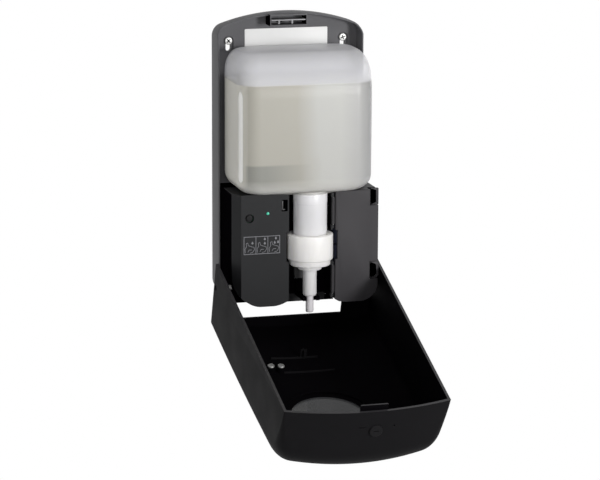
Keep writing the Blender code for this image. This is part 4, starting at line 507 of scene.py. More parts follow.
class SurfaceGroups:
    """The shader node groups that several finishes share."""

    def __init__(self) -> None:
        """Build each group once."""
        self.grain = self._grain()
        self.handling = self._handling()

    @staticmethod
    def _new(name: str, outputs: tuple) -> tuple:
        """Start a group with a vector, a scale and float outputs."""
        group = bpy.data.node_groups.new(name, "ShaderNodeTree")
        group.interface.new_socket("Vector", in_out="INPUT", socket_type="NodeSocketVector")
        group.interface.new_socket("Scale", in_out="INPUT", socket_type="NodeSocketFloat")
        for label in outputs:
            group.interface.new_socket(label, in_out="OUTPUT", socket_type="NodeSocketFloat")
        bench = NodeBench(group)
        entry = bench.add("NodeGroupInput")
        return group, bench, entry.outputs["Vector"], entry.outputs["Scale"]

    def _grain(self) -> bpy.types.NodeTree:
        """Spark-eroded mould grain: a fine cell pattern broken up by noise."""
        group, bench, vector, scale = self._new("mould_grain", ("Height",))
        cells = bench.add("ShaderNodeTexVoronoi", {"Vector": vector, "Scale": scale}).outputs["Distance"]
        height = bench.math("ADD", bench.times(cells, 0.6), bench.noise(vector, scale, 3))
        bench.add("NodeGroupOutput", {"Height": height})
        return group

    def _handling(self) -> bpy.types.NodeTree:
        """Slow mottling from moulding and handling, plus sparse fine specks of dust."""
        group, bench, vector, scale = self._new("handling_marks", ("Mottle", "Dust"))
        bench.add("NodeGroupOutput", {"Mottle": bench.ramp(bench.noise(vector, scale, 4), 0.3, 0.7),
                                      "Dust": bench.ramp(bench.noise(vector, DUST_SCALE, 1), 0.74, 0.80)})
        return group


@dataclass(frozen=True)
class Finish:
    """A Principled material that reads Object coordinates and is made once."""

    name: str
    colour: tuple

    def build(self, groups: SurfaceGroups) -> bpy.types.Material:
        """Make the material, or return it if it exists."""
        made = bpy.data.materials.get(self.name)
        if not made:
            made = bpy.data.materials.new(self.name)
            made.use_nodes = True
            bench = NodeBench(made.node_tree, groups)
            vector = bench.add("ShaderNodeTexCoord").outputs["Object"]
            bench.put(made.node_tree.nodes["Principled BSDF"], self.paint(bench, vector))
        return made

    def paint(self, bench: NodeBench, vector: Socket) -> dict:
        """The shader's inputs, which each kind of finish gives."""
        raise NotImplementedError

    def shade(self, scale: float) -> tuple:
        """The finish's colour made darker or lighter."""
        return tuple(min(1.0, value * scale) for value in self.colour)


@dataclass(frozen=True)
class Moulded(Finish):
    """Injection-moulded plastic with grain, mottling and a little dust."""

    roughness: float = 0.45
    grain_scale: float = 2400.0
    grain_depth: float = 0.00005
    mottle: float = 0.05
    dust: float = 0.0
    scatter: float = 0.0
    specular: float = 0.5
    coat: float = 0.0

    def paint(self, bench: NodeBench, vector: Socket) -> dict:
        """The shader's inputs."""
        handling = bench.add("ShaderNodeGroup", {"Scale": HANDLING_SCALE, "Vector": vector},
                             node_tree=bench.groups.handling)
        mottle = handling.outputs["Mottle"]
        tint = bench.mix(mottle, self.shade(1 - self.mottle), self.shade(1 + self.mottle))
        dust = bench.times(handling.outputs["Dust"], self.dust)
        return {
            "Base Color": bench.mix(dust, tint, DUST_COLOUR),
            "Roughness": bench.ramp(mottle, 0.0, 1.0, self.roughness - 0.03, self.roughness + 0.04),
            "Subsurface Weight": self.scatter,
            "Subsurface Radius": (0.010, 0.010, 0.009),
            "Subsurface Scale": 1.0,
            "Specular IOR Level": self.specular,
            "Coat Weight": self.coat,
            "Coat Roughness": 0.15,
            "Normal": bench.grain(vector, self.grain_scale, self.grain_depth),
        }


@dataclass(frozen=True)
class Plated(Finish):
    """Bright zinc or brass with fine brushing."""

    roughness: float = 0.32
    brush_scale: float = 5200.0
    brush_depth: float = 0.00001

    def paint(self, bench: NodeBench, vector: Socket) -> dict:
        """The shader's inputs."""
        cloudy = bench.noise(vector, 260.0, 4)
        return {
            "Metallic": 1.0,
            "Base Color": bench.mix(cloudy, self.shade(0.86), self.colour),
            "Roughness": bench.ramp(cloudy, 0.3, 0.7, self.roughness, self.roughness + 0.12),
            "Normal": bench.grain(vector, self.brush_scale, self.brush_depth),
        }


@dataclass(frozen=True)
class MilkyWall(Finish):
    """Blown natural polyethylene: milky, see-through face on, denser edge on.

    Below the soap's level the wall takes the tint of the soap behind it, paled towards the right as painted
    light. Over this lie painted light on the left cheek and along the foot, painted shade on the right edge
    and low on the left where the dark housing shows through, and a painted highlight along the front-left
    edge. Level and foot are heights in the piece's own coordinates; the distance after them places the
    painted highlight.
    """

    wet_colour: tuple
    level: float
    foot: float
    highlight_edge: float
    # The next six colours are painted light, shade and highlight laid over the wall's tint.
    painted_light_cheek_colour: tuple = (0.98, 0.96, 0.88)
    painted_shade_patch_colour: tuple = (0.20, 0.21, 0.20)
    painted_light_heel_colour: tuple = (0.86, 0.85, 0.82)
    painted_shade_edge_colour: tuple = (0.30, 0.30, 0.32)
    painted_highlight_colour: tuple = (1.0, 1.0, 0.96)
    painted_light_tint: tuple = (1.22, 1.26, 1.37)
    cover: float = 0.34
    wet_cover: float = 0.60
    shadow: float = 0.85
    roughness: float = 0.40

    def paint(self, bench: NodeBench, vector: Socket) -> dict:
        """The shader's inputs."""
        dry = bench.mix(bench.noise(vector, 30.0, 3), self.shade(0.96), self.colour)
        side, depth, height = bench.add("ShaderNodeSeparateXYZ", {0: vector}).outputs
        wet = bench.ramp(height, *about(self.level, 0.0006), 1.0, 0.0)
        drift = bench.math("ADD", side, bench.times(bench.noise(vector, 14.0, 2), 0.03))
        # Below the soap's level the tint pales and cools towards the right side: painted light from the
        # right.
        clear = tuple(value * tint for value, tint in zip(self.wet_colour, self.painted_light_tint))
        colour = bench.mix(wet, dry, bench.mix(bench.ramp(drift, 0.002, 0.026), self.wet_colour, clear))
        # Painted shade low on the left, where the dark housing shows through the soap.
        low = bench.ramp(height, self.foot + 0.0280, self.foot + 0.0300, 1.0, 0.0)
        # Painted light along the bottle's foot.
        heel = bench.ramp(height, self.foot + 0.002, self.foot + 0.015, 1.0, 0.0)
        left = bench.times(bench.ramp(side, -0.040, 0.004, 1.0, 0.0), bench.ramp(side, -0.0600, -0.0575))
        # Painted highlight: a thin lighter band along the front-left edge.
        lean = bench.math("ADD", bench.times(side, -0.90), bench.times(depth, -0.436))
        highlight_edge = bench.ramp(lean, self.highlight_edge - 0.00042, self.highlight_edge - 0.0002)
        # Lay the painted marks over the tint: shade low on the left, light at the foot, shade on the right
        # edge, light on the left cheek, and the highlight.
        for mask, tint in (
                (bench.times(bench.times(low, left), 0.60), self.painted_shade_patch_colour),
                (bench.times(heel, 0.8), self.painted_light_heel_colour),
                # Painted shade on the rounded right edge below the soap's level.
                (bench.times(bench.times(bench.ramp(side, 0.030, 0.060), wet), 0.6), self.painted_shade_edge_colour),
                # Painted light on the left cheek, standing in for light that passes through the bottle.
                (bench.times(bench.ramp(side, -0.0638, -0.0560, 1.0, 0.0), wet), self.painted_light_cheek_colour),
                (highlight_edge, self.painted_highlight_colour)):
            colour = bench.mix(mask, colour, tint)
        facing = bench.add("ShaderNodeLayerWeight", {"Blend": 0.35}).outputs["Facing"]
        # The painted highlight band is also drawn opaque.
        rim = bench.math("MAXIMUM", bench.ramp(facing, 0.50, 1.0), highlight_edge)
        solid = bench.math("MAXIMUM", bench.ramp(wet, 0.0, 1.0, self.cover, self.wet_cover), rim)
        path = bench.add("ShaderNodeLightPath").outputs["Is Shadow Ray"]
        return {
            "Base Color": colour,
            "Roughness": self.roughness,
            "Subsurface Weight": 0.2,
            "Subsurface Radius": (0.003, 0.003, 0.0026),
            "Subsurface Scale": 1.0,
            "Alpha": bench.times(solid, bench.ramp(path, 0.0, 1.0, 1.0, self.shadow)),
            "Normal": bench.grain(vector, 700.0, 0.00006),
        }


@dataclass(frozen=True)
class Clear(Finish):
    """Soap, or smoked or coloured clear plastic."""

    cover: float = 1.0
    roughness: float = 0.12
    glow: float = 0.0
    coat: float = 0.4
    scatter: float = 0.0
    cloud_scale: float = 60.0

    def paint(self, bench: NodeBench, vector: Socket) -> dict:
        """The shader's inputs."""
        return {
            "Base Color": bench.mix(bench.noise(vector, self.cloud_scale, 2), self.shade(0.9), self.colour),
            "Roughness": self.roughness,
            "Alpha": self.cover,
            "Coat Weight": self.coat,
            "Subsurface Weight": self.scatter,
            "Subsurface Radius": (0.05, 0.05, 0.042),
            "Subsurface Scale": 1.0,
            "Emission Color": (*self.colour, 1.0),
            "Emission Strength": self.glow,
        }


CHARCOAL = Moulded("charcoal_moulding", (0.0145, 0.0148, 0.0160), 0.44, dust=0.02, specular=0.14)
PLATE_GREY = Moulded("plate_moulding", (0.106, 0.105, 0.111), 0.42, dust=0.02, specular=0.10)
COVER_BLACK = Moulded("cover_moulding", (0.0082, 0.0079, 0.0086), 0.50, 2600.0, 0.00004, dust=0.01,
                      specular=0.015)
# A lighter copy of the cover's black for the rim and the tongue's nose: a painted highlight.
COVER_PAINTED_HIGHLIGHT = Moulded("cover_rim_painted_highlight", (0.026, 0.025, 0.027), 0.38, 2600.0, 0.00002, dust=0.01,
                    specular=0.3)
# Inner faces of the cover: a darker copy of its black, painted shade.
COVER_PAINTED_SHADE = Moulded("cover_inside_painted_shade", (0.0024, 0.0021, 0.0027), 0.6, 2600.0, 0.00001, specular=0.01)
# Black for the black parts, and the second finish of marked faces, where it is painted shade in hollows,
# recesses and unlit sides.
BLACK = Moulded("black_moulding_and_painted_shade", (0.0022, 0.0017, 0.0024), 0.6, 2400.0, 0.00003, 0.06, specular=0.0)
DOOR_GREY = Moulded("door_moulding", (0.040, 0.038, 0.041), 0.46, dust=0.02, specular=0.12)
BUTTON_DARK = Moulded("button_moulding", (0.0085, 0.0083, 0.0090), 0.42, 2400.0, 0.00004, 0.06, 0.04,
                      specular=0.12)
CARRIAGE_GREY = Moulded("carriage_acetal", (0.040, 0.039, 0.040), 0.42, 1800.0, 0.00003, 0.06, 0.04)
LOCK_DARK = Moulded("lock_moulding", (0.0108, 0.0104, 0.0112), 0.40, 2400.0, 0.00003, 0.06, 0.04,
                    specular=0.03)
CATCH_GREY = Moulded("catch_acetal", (0.30, 0.30, 0.31), 0.40, 1800.0, 0.00002, 0.06)
HOOK_GREY = Moulded("hook_acetal", (0.030, 0.029, 0.030), 0.40, 1800.0, 0.00002, 0.06)
WHITE_PUMP = Moulded("pump_white", (0.78, 0.765, 0.745), 0.34, 900.0, 0.00001, 0.015, scatter=0.7)
NECK_CREAM = Moulded("neck_cream", (0.97, 0.955, 0.93), 0.34, 900.0, 0.00001, 0.01, scatter=0.7)
PALE_STEM = Moulded("stem_grey_white", (0.68, 0.67, 0.67), 0.34, 900.0, 0.00001, 0.02, scatter=0.4)
TIP_GREY = Moulded("tip_grey", (0.62, 0.60, 0.62), 0.38, 900.0, 0.00001, 0.03)
LABEL_WHITE = Moulded("label_white", (0.74, 0.74, 0.735), 0.50, 3000.0, 0.00001, 0.02)
GUIDE_LINE = Moulded("guide_print", (0.165, 0.165, 0.180), 0.5, 3000.0, 0.00001, 0.03)
RUBBER = Moulded("seal_rubber", (0.16, 0.16, 0.16), 0.75, 1500.0, 0.00004, 0.06, 0.04)
BOARD = Moulded("board_mask", (0.02, 0.13, 0.06), 0.35, 1500.0, 0.00002, 0.06, 0.04)
JACKET = Moulded("cell_jacket_sleeve", (0.05, 0.055, 0.09), 0.28, 1200.0, 0.00001, coat=0.4)
ZINC = Plated("zinc_plate", (0.60, 0.60, 0.59), 0.46)
BRASS = Plated("brass_metal", (0.70, 0.52, 0.22))
# The last number places the painted highlight on the bottle's front-left edge.
BOTTLE_WALL = MilkyWall("natural_polyethylene", (0.84, 0.84, 0.87), (0.455, 0.440, 0.390),
                        SOAP_LEVEL - PLATE_HEIGHT / 2, BOTTLE_FOOT - PLATE_HEIGHT / 2, 0.0896)
SOAP = Clear("soap_fill", (0.50, 0.49, 0.43), roughness=0.25, coat=0.0, scatter=1.0, cloud_scale=16.0)
SMOKED = Clear("smoked_clear", (0.060, 0.062, 0.064), 0.82)
GREEN_LED = Clear("green_lens_clear", (0.06, 0.46, 0.31), 1.0, 0.2, 0.22)
INFRARED = Clear("infrared_clear", (0.02, 0.004, 0.008))


class Workshop:
    """Keeps the frame and the shared node groups, and dresses the pieces."""

    def __init__(self) -> None:
        """Load the frame and build the groups."""
        self.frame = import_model()
        self.cad_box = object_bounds()
        self.groups = SurfaceGroups()

    def dress(self, item: Piece, finishes: tuple, body: str, slot: str, *replaces: str,
              angle: float = 40) -> None:
        """Give a piece its finishes and body.

        Args:
            item: The piece.
            finishes: The main finish, and those of the faces marked with one and two.
            body: The CAD body it rides on.
            slot: The record's material slot; not used.
            replaces: Names of the CAD nodes that it stands for.
            angle: Edges sharper than this stay sharp; zero leaves the shading as it is.
        """
        if angle:
            item.data.shade_smooth()
            item.data.set_sharp_from_angle(angle=np.radians(angle))
        inner = face_marks(item)
        item.data.materials.clear()
        for finish in finishes:
            item.data.materials.append(finish.build(self.groups))
        if len(finishes) > 1:
            item.data.polygons.foreach_set("material_index", inner)
        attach(item, body)
        if replaces:
            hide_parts(*replaces)
        LOG.info("%s rides on %s", item.name, body)

    def keep(self, finish: Finish, *nodes: str) -> None:
        """Keep CAD nodes and give them a finish."""
        for node in nodes:
            item = self.frame["nodes"][node]
            item.data.materials.clear()
            item.data.materials.append(finish.build(self.groups))
            LOG.info("%s keeps its solid", node)


@dataclass
class WallPlate:
    """Shallow tray on the wall, with its latch pocket, label, catch and screws."""

    half_width: float = 0.0697
    depth: float = 0.0264
    wall: float = 0.0016
    floor: float = 0.0059
    floor_fillet: float = 0.0012
    top_rim: float = 0.0160
    arch_radius: float = 0.191
    top_corner: float = 0.012
    low_corner: float = 0.014
    rim_round: float = 0.0009
    drop_start: float = 0.2400
    drop_run: float = 0.0160
    screw_side: float = 0.055
    screw_height: float = 0.2388
    keyhole_drop: float = 0.0074
    keyhole_radius: float = 0.0023
    slot_radius: float = 0.0024
    recess_radius: float = 0.0047
    recess_depth: float = 0.0016
    back_half: float = 0.044
    back_depth: float = 0.0032
    back_spans: tuple = ((0.1625, 0.245), (0.020, 0.1025))
    latch_left: float = -0.0195
    latch_right: float = 0.0160
    latch_bottom: float = 0.2533
    latch_top: float = 0.2637
    latch_front: float = 0.0225
    latch_wall: float = 0.0009
    latch_back: float = 0.0070
    ledge_front: float = 0.0219
    ledge_thickness: float = 0.0010
    post_front: float = 0.0180
    post_radius: float = 0.0009
    post_sides: tuple = (-0.0100, 0.0026)
    cross_turns: tuple = (42.0, 24.0)

    def outline(self) -> np.ndarray:
        """Arched outline: a large arc over the top, tangent corner arcs, and low corner arcs."""
        centre = PLATE_HEIGHT - self.arch_radius
        side = self.half_width - self.top_corner
        height = centre + np.sqrt((self.arch_radius - self.top_corner) ** 2 - side ** 2)
        meet = np.degrees(np.arctan2(height - centre, side))
        low = self.low_corner
        return np.concatenate((
            arc((low - self.half_width, low), low, 180, 270, 16),
            arc((self.half_width - low, low), low, 270, 360, 16),
            arc((side, height), self.top_corner, 0, meet, 14),
            arc((0, centre), self.arch_radius, meet, 180 - meet, 48)[1:-1],
            arc((-side, height), self.top_corner, 180 - meet, 180, 14),
        ))

    def tray(self) -> Piece:
        """The plate: outer wall, rounded rim, inner wall and floor, as one run of insets."""
        turn = np.linspace(0, np.pi, 9)
        insets = self.wall / 2 * (1 - np.cos(turn))
        depths = self.depth - self.rim_round * (1 - np.sin(turn))
        steps = [(0.0004, 0.0), (0, 0.0004), *zip(insets, depths),
                 (self.wall, self.floor + self.floor_fillet), (self.wall + 0.0004, self.floor + 0.0004),
                 (self.wall + self.floor_fillet, self.floor)]
        return self.lower_top(slab("wall_plate", self.outline(), steps))

    def lower_top(self, plate: Piece) -> Piece:
        """Bring the wall's rim closer to the floor along the arched top."""
        points = read_rows(plate.data.vertices, "co")
        share = np.clip((points[:, 2] + PLATE_HEIGHT / 2 - self.drop_start) / self.drop_run, 0, 1)
        share = share * share * (3 - 2 * share) * (self.depth - self.top_rim) / (self.depth - self.floor)
        points[:, 1] += np.maximum(-points[:, 1] - self.floor, 0) * share
        plate.data.vertices.foreach_set("co", points.ravel())
        return plate

    def keyhole(self, name: str, side: float, radius: float, near: float) -> Piece:
        """Upright slot with round ends, open to the front."""
        top = arc((side, self.screw_height), radius, 0, 180, 16)
        low = arc((side, self.screw_height - self.keyhole_drop), radius, 180, 360, 16)
        return slab(name, np.concatenate((top, low)), flat(near, self.floor + OVERRUN))

    def carve(self, plate: Piece) -> None:
        """Cut the keyholes, the pocket, the slot and the recesses of the back."""
        tools = []
        for side in (-self.screw_side, self.screw_side):
            ring = arc((side, self.screw_height - self.keyhole_drop), self.keyhole_radius, 0, 360, 28)[:-1]
            tools += [self.keyhole("recess", side, self.recess_radius, self.floor - self.recess_depth),
                      self.keyhole("slot", side, self.slot_radius, -OVERRUN),
                      slab("hole", ring, flat(-OVERRUN, self.floor + OVERRUN))]
        combine(plate, tools)
        left, right, low, high = self.latch_left, self.latch_right, self.latch_bottom, self.latch_top
        wall, back = self.latch_wall, self.latch_back
        frame = slab("pocket_frame", box_outline(left, right, low, high),
                     edge_round(self.floor - 0.001, self.latch_front, 0.0002))
        combine(plate, [frame], Join.ADD)
        pocket = [block("pocket", (left + wall, right - wall), (back, self.latch_front + OVERRUN),
                        (low + wall, high - wall))]
        # Behind each post a shallow recess under the ledge is painted black: a painted shadow of the post.
        for place in self.post_sides:
            shade = (place - 0.0004, place + 0.0062, low + 0.0016, CATCH_TOP - self.ledge_thickness)
            pocket += [rod("post_hole", self.post_radius + 0.0004, (low - 0.001, low + 0.002),
                           at(place, self.post_front, 0), steps=24),
                       mark_inner(pad("post_shade", shade, 0.0012, 4, flat(back - 0.0005, back + OVERRUN)))]
        pocket += [pad("back", (*about(0, self.back_half), *span), 0.003, 4, flat(-OVERRUN, self.back_depth))
                   for span in self.back_spans]
        combine(plate, pocket)
        # The frame's left outer side and the pocket's right inner wall are painted black as shade.
        for place in (left, right - wall):
            mark_region(plate, about(place, 0.0002), (back, self.latch_front - 0.0003), (low, high))

    def catch(self) -> Piece:
        """Sprung ledge with its two guide posts."""
        gap, radius = self.latch_wall + 0.0005, self.post_radius
        low, foot = CATCH_TOP - self.ledge_thickness, self.latch_bottom + 0.0012
        limits = (self.latch_left + gap, self.latch_right - gap, self.latch_back + 0.0005, self.ledge_front)
        ledge = pad("catch_ledge", limits, 0.0004, 3, both_round(low, CATCH_TOP), Axis.UP)
        profile = [(0, foot), (radius - 0.0003, foot), (radius, foot + 0.0003), (radius, low + 0.0003),
                   (0, low + 0.0003)]
        posts = [lathe("post", profile, at(place, self.post_front, 0), steps=24) for place in self.post_sides]
        return combine(ledge, posts, Join.ADD)

    def label(self) -> Piece:
        """Bare label with rounded corners."""
        return pad("bare_label", (-0.0398, 0.0398, 0.2289, 0.2493), 0.0010, 5,
                   edge_round(self.floor + 0.0001, self.floor + 0.0008, 0.0002))

    def screw(self, index: int, side: float) -> Piece:
        """Pan-head screw with a cross recess."""
        seat, height = self.floor - self.recess_depth + FIT, self.screw_height
        rim = arc((0, 0), 1.0, 0, 90, 8) * (0.0012, 0.0006) + (0.0024, seat + 0.0012)
        profile = [(0, 0.0003), (0.0019, 0.0003), (0.0019, seat), (0.0036, seat), *rim, (0, seat + 0.0021)]
        head = lathe(f"plate_screw_{index}", profile, at(side, 0, height), Axis.FRONT, 48)
        tools = []
        # The cross recess takes the black second finish: painted shade in the recess.
        for wide, tall in ((0.0006, 0.0024), (0.0024, 0.0006)):
            cross = rounded(box_outline(*about(side, wide), *about(height, tall)), 0.0002, 2)
            cross = turned(cross, (side, height), self.cross_turns[index - 1])
            tools.append(mark_inner(slab("cross", cross, [(0.0002, seat + 0.0007), (0, seat + 0.0035)])))
        return combine(head, tools)

    def build(self, shop: Workshop) -> None:
        """Make and dress the plate's pieces."""
        plate = self.tray()
        self.carve(plate)
        shop.dress(plate, (PLATE_GREY, BLACK), "frame", "charcoal_plastic", "back_plate", angle=32)
        shop.dress(self.catch(), (CATCH_GREY,), "catch", "grey_acetal", "cover_catch")
        shop.dress(self.label(), (LABEL_WHITE,), "frame", "white_plastic", "label_plate")
        for index, side in ((1, -self.screw_side), (2, self.screw_side)):
            shop.dress(self.screw(index, side), (ZINC, BLACK), "frame", "zinc_steel", f"wall_screw_{index}")
        shop.keep(BLACK, "rear_chassis")


@dataclass
class Housing:
    """Front shell with the control face, the pump's channel and the cell bay."""

    left: float = -0.0660
    back: float = 0.0300
    apron_foot: float = -0.0030
    wall: float = 0.0018
    channel_left: float = -0.0142
    channel_right: float = 0.0265
    channel_back: float = 0.0444
    channel_foot: float = 0.0046
    corner: float = 0.0162
    edge: float = 0.0010
    notch_radius: float = 0.02316
    pin_front: float = 0.0699
    pin_spans: tuple = ((0.0068, 0.0388), (0.0714, 0.1033))
    ear_spans: tuple = ((0.0060, 0.0091), (0.0361, 0.0392), (0.0708, 0.0740), (0.1003, 0.1037))

    def outline(self) -> np.ndarray:
        """Front view of the shell: square top, rounded lobe at the left and corner at the right."""
        points = [(self.left, HOUSE_TOP), (self.left, 0.034), (-0.0655, 0.0185), (-0.0600, 0.0085),
                  (-0.0460, 0.0), (-0.0240, 0.0), (-0.0150, 0.0040), (self.channel_left, self.channel_foot),
                  (self.channel_right, self.channel_foot), (0.0290, 0.0040), (0.0330, 0.0012), (0.0390, 0.0),
                  (HOUSE_RIGHT, 0.0), (HOUSE_RIGHT, HOUSE_TOP)]
        radii = [0.0006, 0.020, 0.010, 0.008, 0.005, 0.006, 0.001, 0.001, 0.001, 0.0015, 0.003, 0.003,
                 self.corner, 0.0006]
        return rounded(points, radii, 8)

    def openings(self) -> list:
        """Tools that hollow the shell and open its channel, slots and recesses."""
        wall, past_back, past_face = self.wall, self.back - OVERRUN, FACE + OVERRUN
        ceiling, over = HOUSE_TOP - self.wall, (-OVERRUN, HOUSE_TOP + OVERRUN)
        left, right, deep = self.channel_left, self.channel_right, self.channel_back
        return [
            block("left_hollow", (self.left + 0.0062, left - wall), (past_back, FACE - wall - 0.0004),
                  (0.0200, ceiling)),
            block("lobe_hollow", (-0.0450, -0.0250), (past_back, FACE - 0.003), (0.0018, 0.0205)),
            block("bay", (right + wall, HOUSE_RIGHT - wall), (past_back, past_face), (0.0170, ceiling)),
            block("bay_foot", (right + wall, 0.0590), (past_back, past_face), (0.0022, 0.0175)),
            block("centre_hollow", (left - wall - OVERRUN, right + wall + OVERRUN), (past_back, deep - wall),
                  (self.channel_foot + wall, ceiling)),
            # The channel, the clip slot and the clasp recesses leave faces with the black second finish:
            # painted shade in these hollows.
            mark_inner(block("channel", (left, right), (deep, past_face), over)),
            block("rack_slot", (0.0035, 0.0095), (deep - wall - OVERRUN, deep + OVERRUN), (0.0200, 0.0419)),
            block("door_seat", (right - OVERRUN, HOUSE_RIGHT + OVERRUN),
                  (FACE - DOOR_THICKNESS - FIT, past_face), over),
            block("sensor_hole", (-0.0440, -0.0260), (0.0440, 0.0640), (-OVERRUN, 0.0040)),
            mark_inner(pad("clip_slot", (-0.0212, -0.0155, 0.0890, 0.0998), 0.0008, 3,
                           flat(FACE - OVERRUN, past_face))),
            *(mark_inner(block("clasp_recess", (HOUSE_RIGHT - 0.0088, HOUSE_RIGHT + OVERRUN),
                               (0.0609, past_face), about(centre, 0.0088))) for centre in CLASP_HEIGHTS),
        ]

    def shell(self) -> Piece:
        """The shell: the outline carried forward, chamfered, hollowed and cut for its openings."""
        left, right, deep, past_face = self.left, self.channel_right, self.channel_back, FACE + OVERRUN
        shell = slab("front_housing", self.outline(), flat(self.back, FACE))
        wedge = np.array([(left - OVERRUN, 0.0606), (left, 0.0606), (left + 0.0065, FACE),
                          (left + 0.0065, past_face), (left - OVERRUN, past_face)])
        combine(shell, [slab("wedge", wedge, flat(-OVERRUN, HOUSE_TOP + OVERRUN), Axis.UP)])
        apron = (deep - self.wall, deep)
        combine(shell, [
            block("apron", (self.channel_left - 0.0010, right + 0.0010), apron, (self.apron_foot, 0.0100)),
            block("apron_end", (right - 0.0010, 0.0360), apron, (self.apron_foot, 0.0068)),
            block("corner_fill", (left + 0.0006, -0.0440), (0.0340, 0.0440), (-0.0014, 0.0300)),
        ], Join.ADD)
        combine(shell, self.openings())
        button, lens = (at(side, 0, height) for side, height in (BUTTON_PLACE, LENS_PLACE))
        combine(shell, [rod("notch", self.notch_radius, COLLAR_NOTCH, at(*PUMP_AXIS, 0), steps=96),
                        rod("button_hole", 0.0042, (0.05, 0.08), button, Axis.FRONT),
                        rod("led_hole", 0.0016, (0.05, 0.08), lens, Axis.FRONT, 32)])
        ear = rounded([(0.0262, 0.0670), (0.0291, 0.0670), (0.0291, FACE), (0.0262, FACE)],
                      [0.0, 0.0002, 0.0009, 0.0], 4)
        combine(shell, [slab("ear", ear, flat(*span), Axis.UP) for span in self.ear_spans], Join.ADD)
        pin = at(DOOR_HINGE_SIDE, self.pin_front, 0)
        combine(shell, [rod("pin_bore", 0.0008, span, pin, steps=24) for span in self.pin_spans])
        # Painted shade: the left side face, the lower left corner beside the cover, the apron's end and the
        # corner fill take the black second finish.
        for region in ((about(left, 0.0001), (0.02, 0.0610), (0.0, HOUSE_TOP)),
                       ((left - 0.0002, -0.0600), (0.02, 0.0640), (-0.001, 0.0340)),
                       ((0.0240, 0.0362), (deep - 0.0020, deep + 0.0001), (self.apron_foot - 0.0001, 0.0070)),
                       ((left, -0.0430), (0.0330, 0.0445), (-0.0016, 0.0090))):
            mark_region(shell, *region)
        return shell

    def build(self, shop: Workshop) -> None:
        """Make and dress the housing's pieces."""
        shell = soften(self.shell(), self.edge, 3, 40)
        shop.dress(shell, (CHARCOAL, BLACK), "frame", "charcoal_plastic", "housing_shell", angle=0)
        Controls().build(shop)
        CellBay().build(shop)


@dataclass
class Controls:
    """Button, lens, printed dose guide, neck clip and sensor of the control face."""

    left: float = -0.0572
    bottom: float = 0.0501
    width: float = 0.0344
    height: float = 0.0168
    line: float = 0.00055
    pen: float = 0.00042
    drop_size: float = 0.00095
    hand: tuple = ((0.14, 0.10), (0.10, 0.30), (0.24, 0.46), (0.20, 0.62), (0.33, 0.66), (0.40, 0.50),
                   (0.62, 0.44), (0.84, 0.40), (0.90, 0.28), (0.74, 0.12), (0.52, 0.08))
    palm: tuple = ((0.34, 0.14), (0.44, 0.26), (0.66, 0.26))
    drops: tuple = (((0.72, 0.62),), ((0.74, 0.82), (0.74, 0.58)), ((0.66, 0.84), (0.56, 0.60), (0.84, 0.62)))

    def drop(self, centre: np.ndarray) -> np.ndarray:
        """Outline of a drop: a circle whose top is drawn out to a point."""
        turn = np.linspace(0, 2 * np.pi, 28, endpoint=False)
        pull = np.maximum(np.sin(turn), 0) ** 3
        across, over = np.cos(turn) * (1 - 0.55 * pull), np.sin(turn) + 0.9 * pull
        return centre + self.drop_size * np.stack((across, over), axis=-1)

    @staticmethod
    def raised(name: str, outline: np.ndarray) -> Piece:
        """A thin raised mark on the face."""
        return slab(name, outline, [(0, FACE - 0.0001), (0, FACE + 0.00018), (0.00008, FACE + 0.00024)])

    def guide(self) -> Piece:
        """Three cells with one, two and three drops over an open hand."""
        right, top = self.left + self.width, self.bottom + self.height
        size = np.array((self.width / 3, self.height))
        marks = [self.raised("rule", box_outline(self.left, right, low, low + self.line))
                 for low in (self.bottom, top - self.line)]
        marks += [self.raised("bar", box_outline(side, side + self.line, self.bottom + 0.0001, top - 0.0001))
                  for side in self.left + np.arange(4) * (self.width - self.line) / 3]
        for step, places in enumerate(self.drops):
            corner = np.array((self.left + size[0] * step, self.bottom))
            marks += [self.raised(name, stroke(corner + np.array(line) * size, self.pen))
                      for name, line in (("hand", self.hand), ("palm", self.palm))]
            marks += [self.raised("drop", self.drop(corner + np.array(place) * size)) for place in places]
        return combine(marks[0], marks[1:], Join.ADD)

    @staticmethod
    def button() -> Piece:
        """Round button with a soft rim and a flange behind the face."""
        inner, face = FACE - 0.0018 - FIT, FACE - 0.0006
        profile = [(0, inner - 0.0010), (0.0039, inner - 0.0010), (0.0039, inner), (0.0029, inner),
                   (0.0029, face - 0.0004), (0.0027, face - 0.0001), (0.0022, face), (0, face - 0.0003)]
        return lathe("push_button", profile, at(BUTTON_PLACE[0], 0, BUTTON_PLACE[1]), Axis.FRONT, 48)

    @staticmethod
    def lens() -> Piece:
        """Domed lens."""
        crown = arc((0, 0), 1.0, 0, 90, 6) * (0.0013, 0.0005) + (0, FACE - 0.0001)
        crown[-1, 0] = 0
        base = FACE - 0.0021
        profile = [(0, base - 0.0010), (0.0023, base - 0.0010), (0.0023, base), (0.0013, base), *crown]
        return lathe("status_lens", profile, at(LENS_PLACE[0], 0, LENS_PLACE[1]), Axis.FRONT, 32)

    @staticmethod
    def clip() -> Piece:
        """Grey hook seen in its slot beside the neck."""
        arm = pad("neck_hook", (0.0675, 0.0706, 0.0898, 0.0990), 0.0008, 4,
                  both_round(-0.0209, -0.0197), Axis.SIDE)
        toe = pad("toe", (0.0675, 0.0702, 0.0898, 0.0911), 0.0004, 3,
                  both_round(-0.0204, -0.0178), Axis.SIDE)
        return combine(arm, [toe], Join.ADD)

    def build(self, shop: Workshop) -> None:
        """Make and dress the controls."""
        shop.dress(self.guide(), (GUIDE_LINE,), "frame", "charcoal_plastic", "dose_guide", angle=30)
        shop.dress(self.button(), (BUTTON_DARK,), "button", "black_plastic", "dose_button", angle=35)
        shop.dress(self.lens(), (GREEN_LED,), "frame", "green_lens", "led_lens", angle=35)
        shop.dress(self.clip(), (HOOK_GREY,), "frame", "grey_acetal", "neck_clip", angle=35)
        shop.keep(INFRARED, "sensor_window")
        shop.keep(BOARD, "sensor_board", "circuit_board")


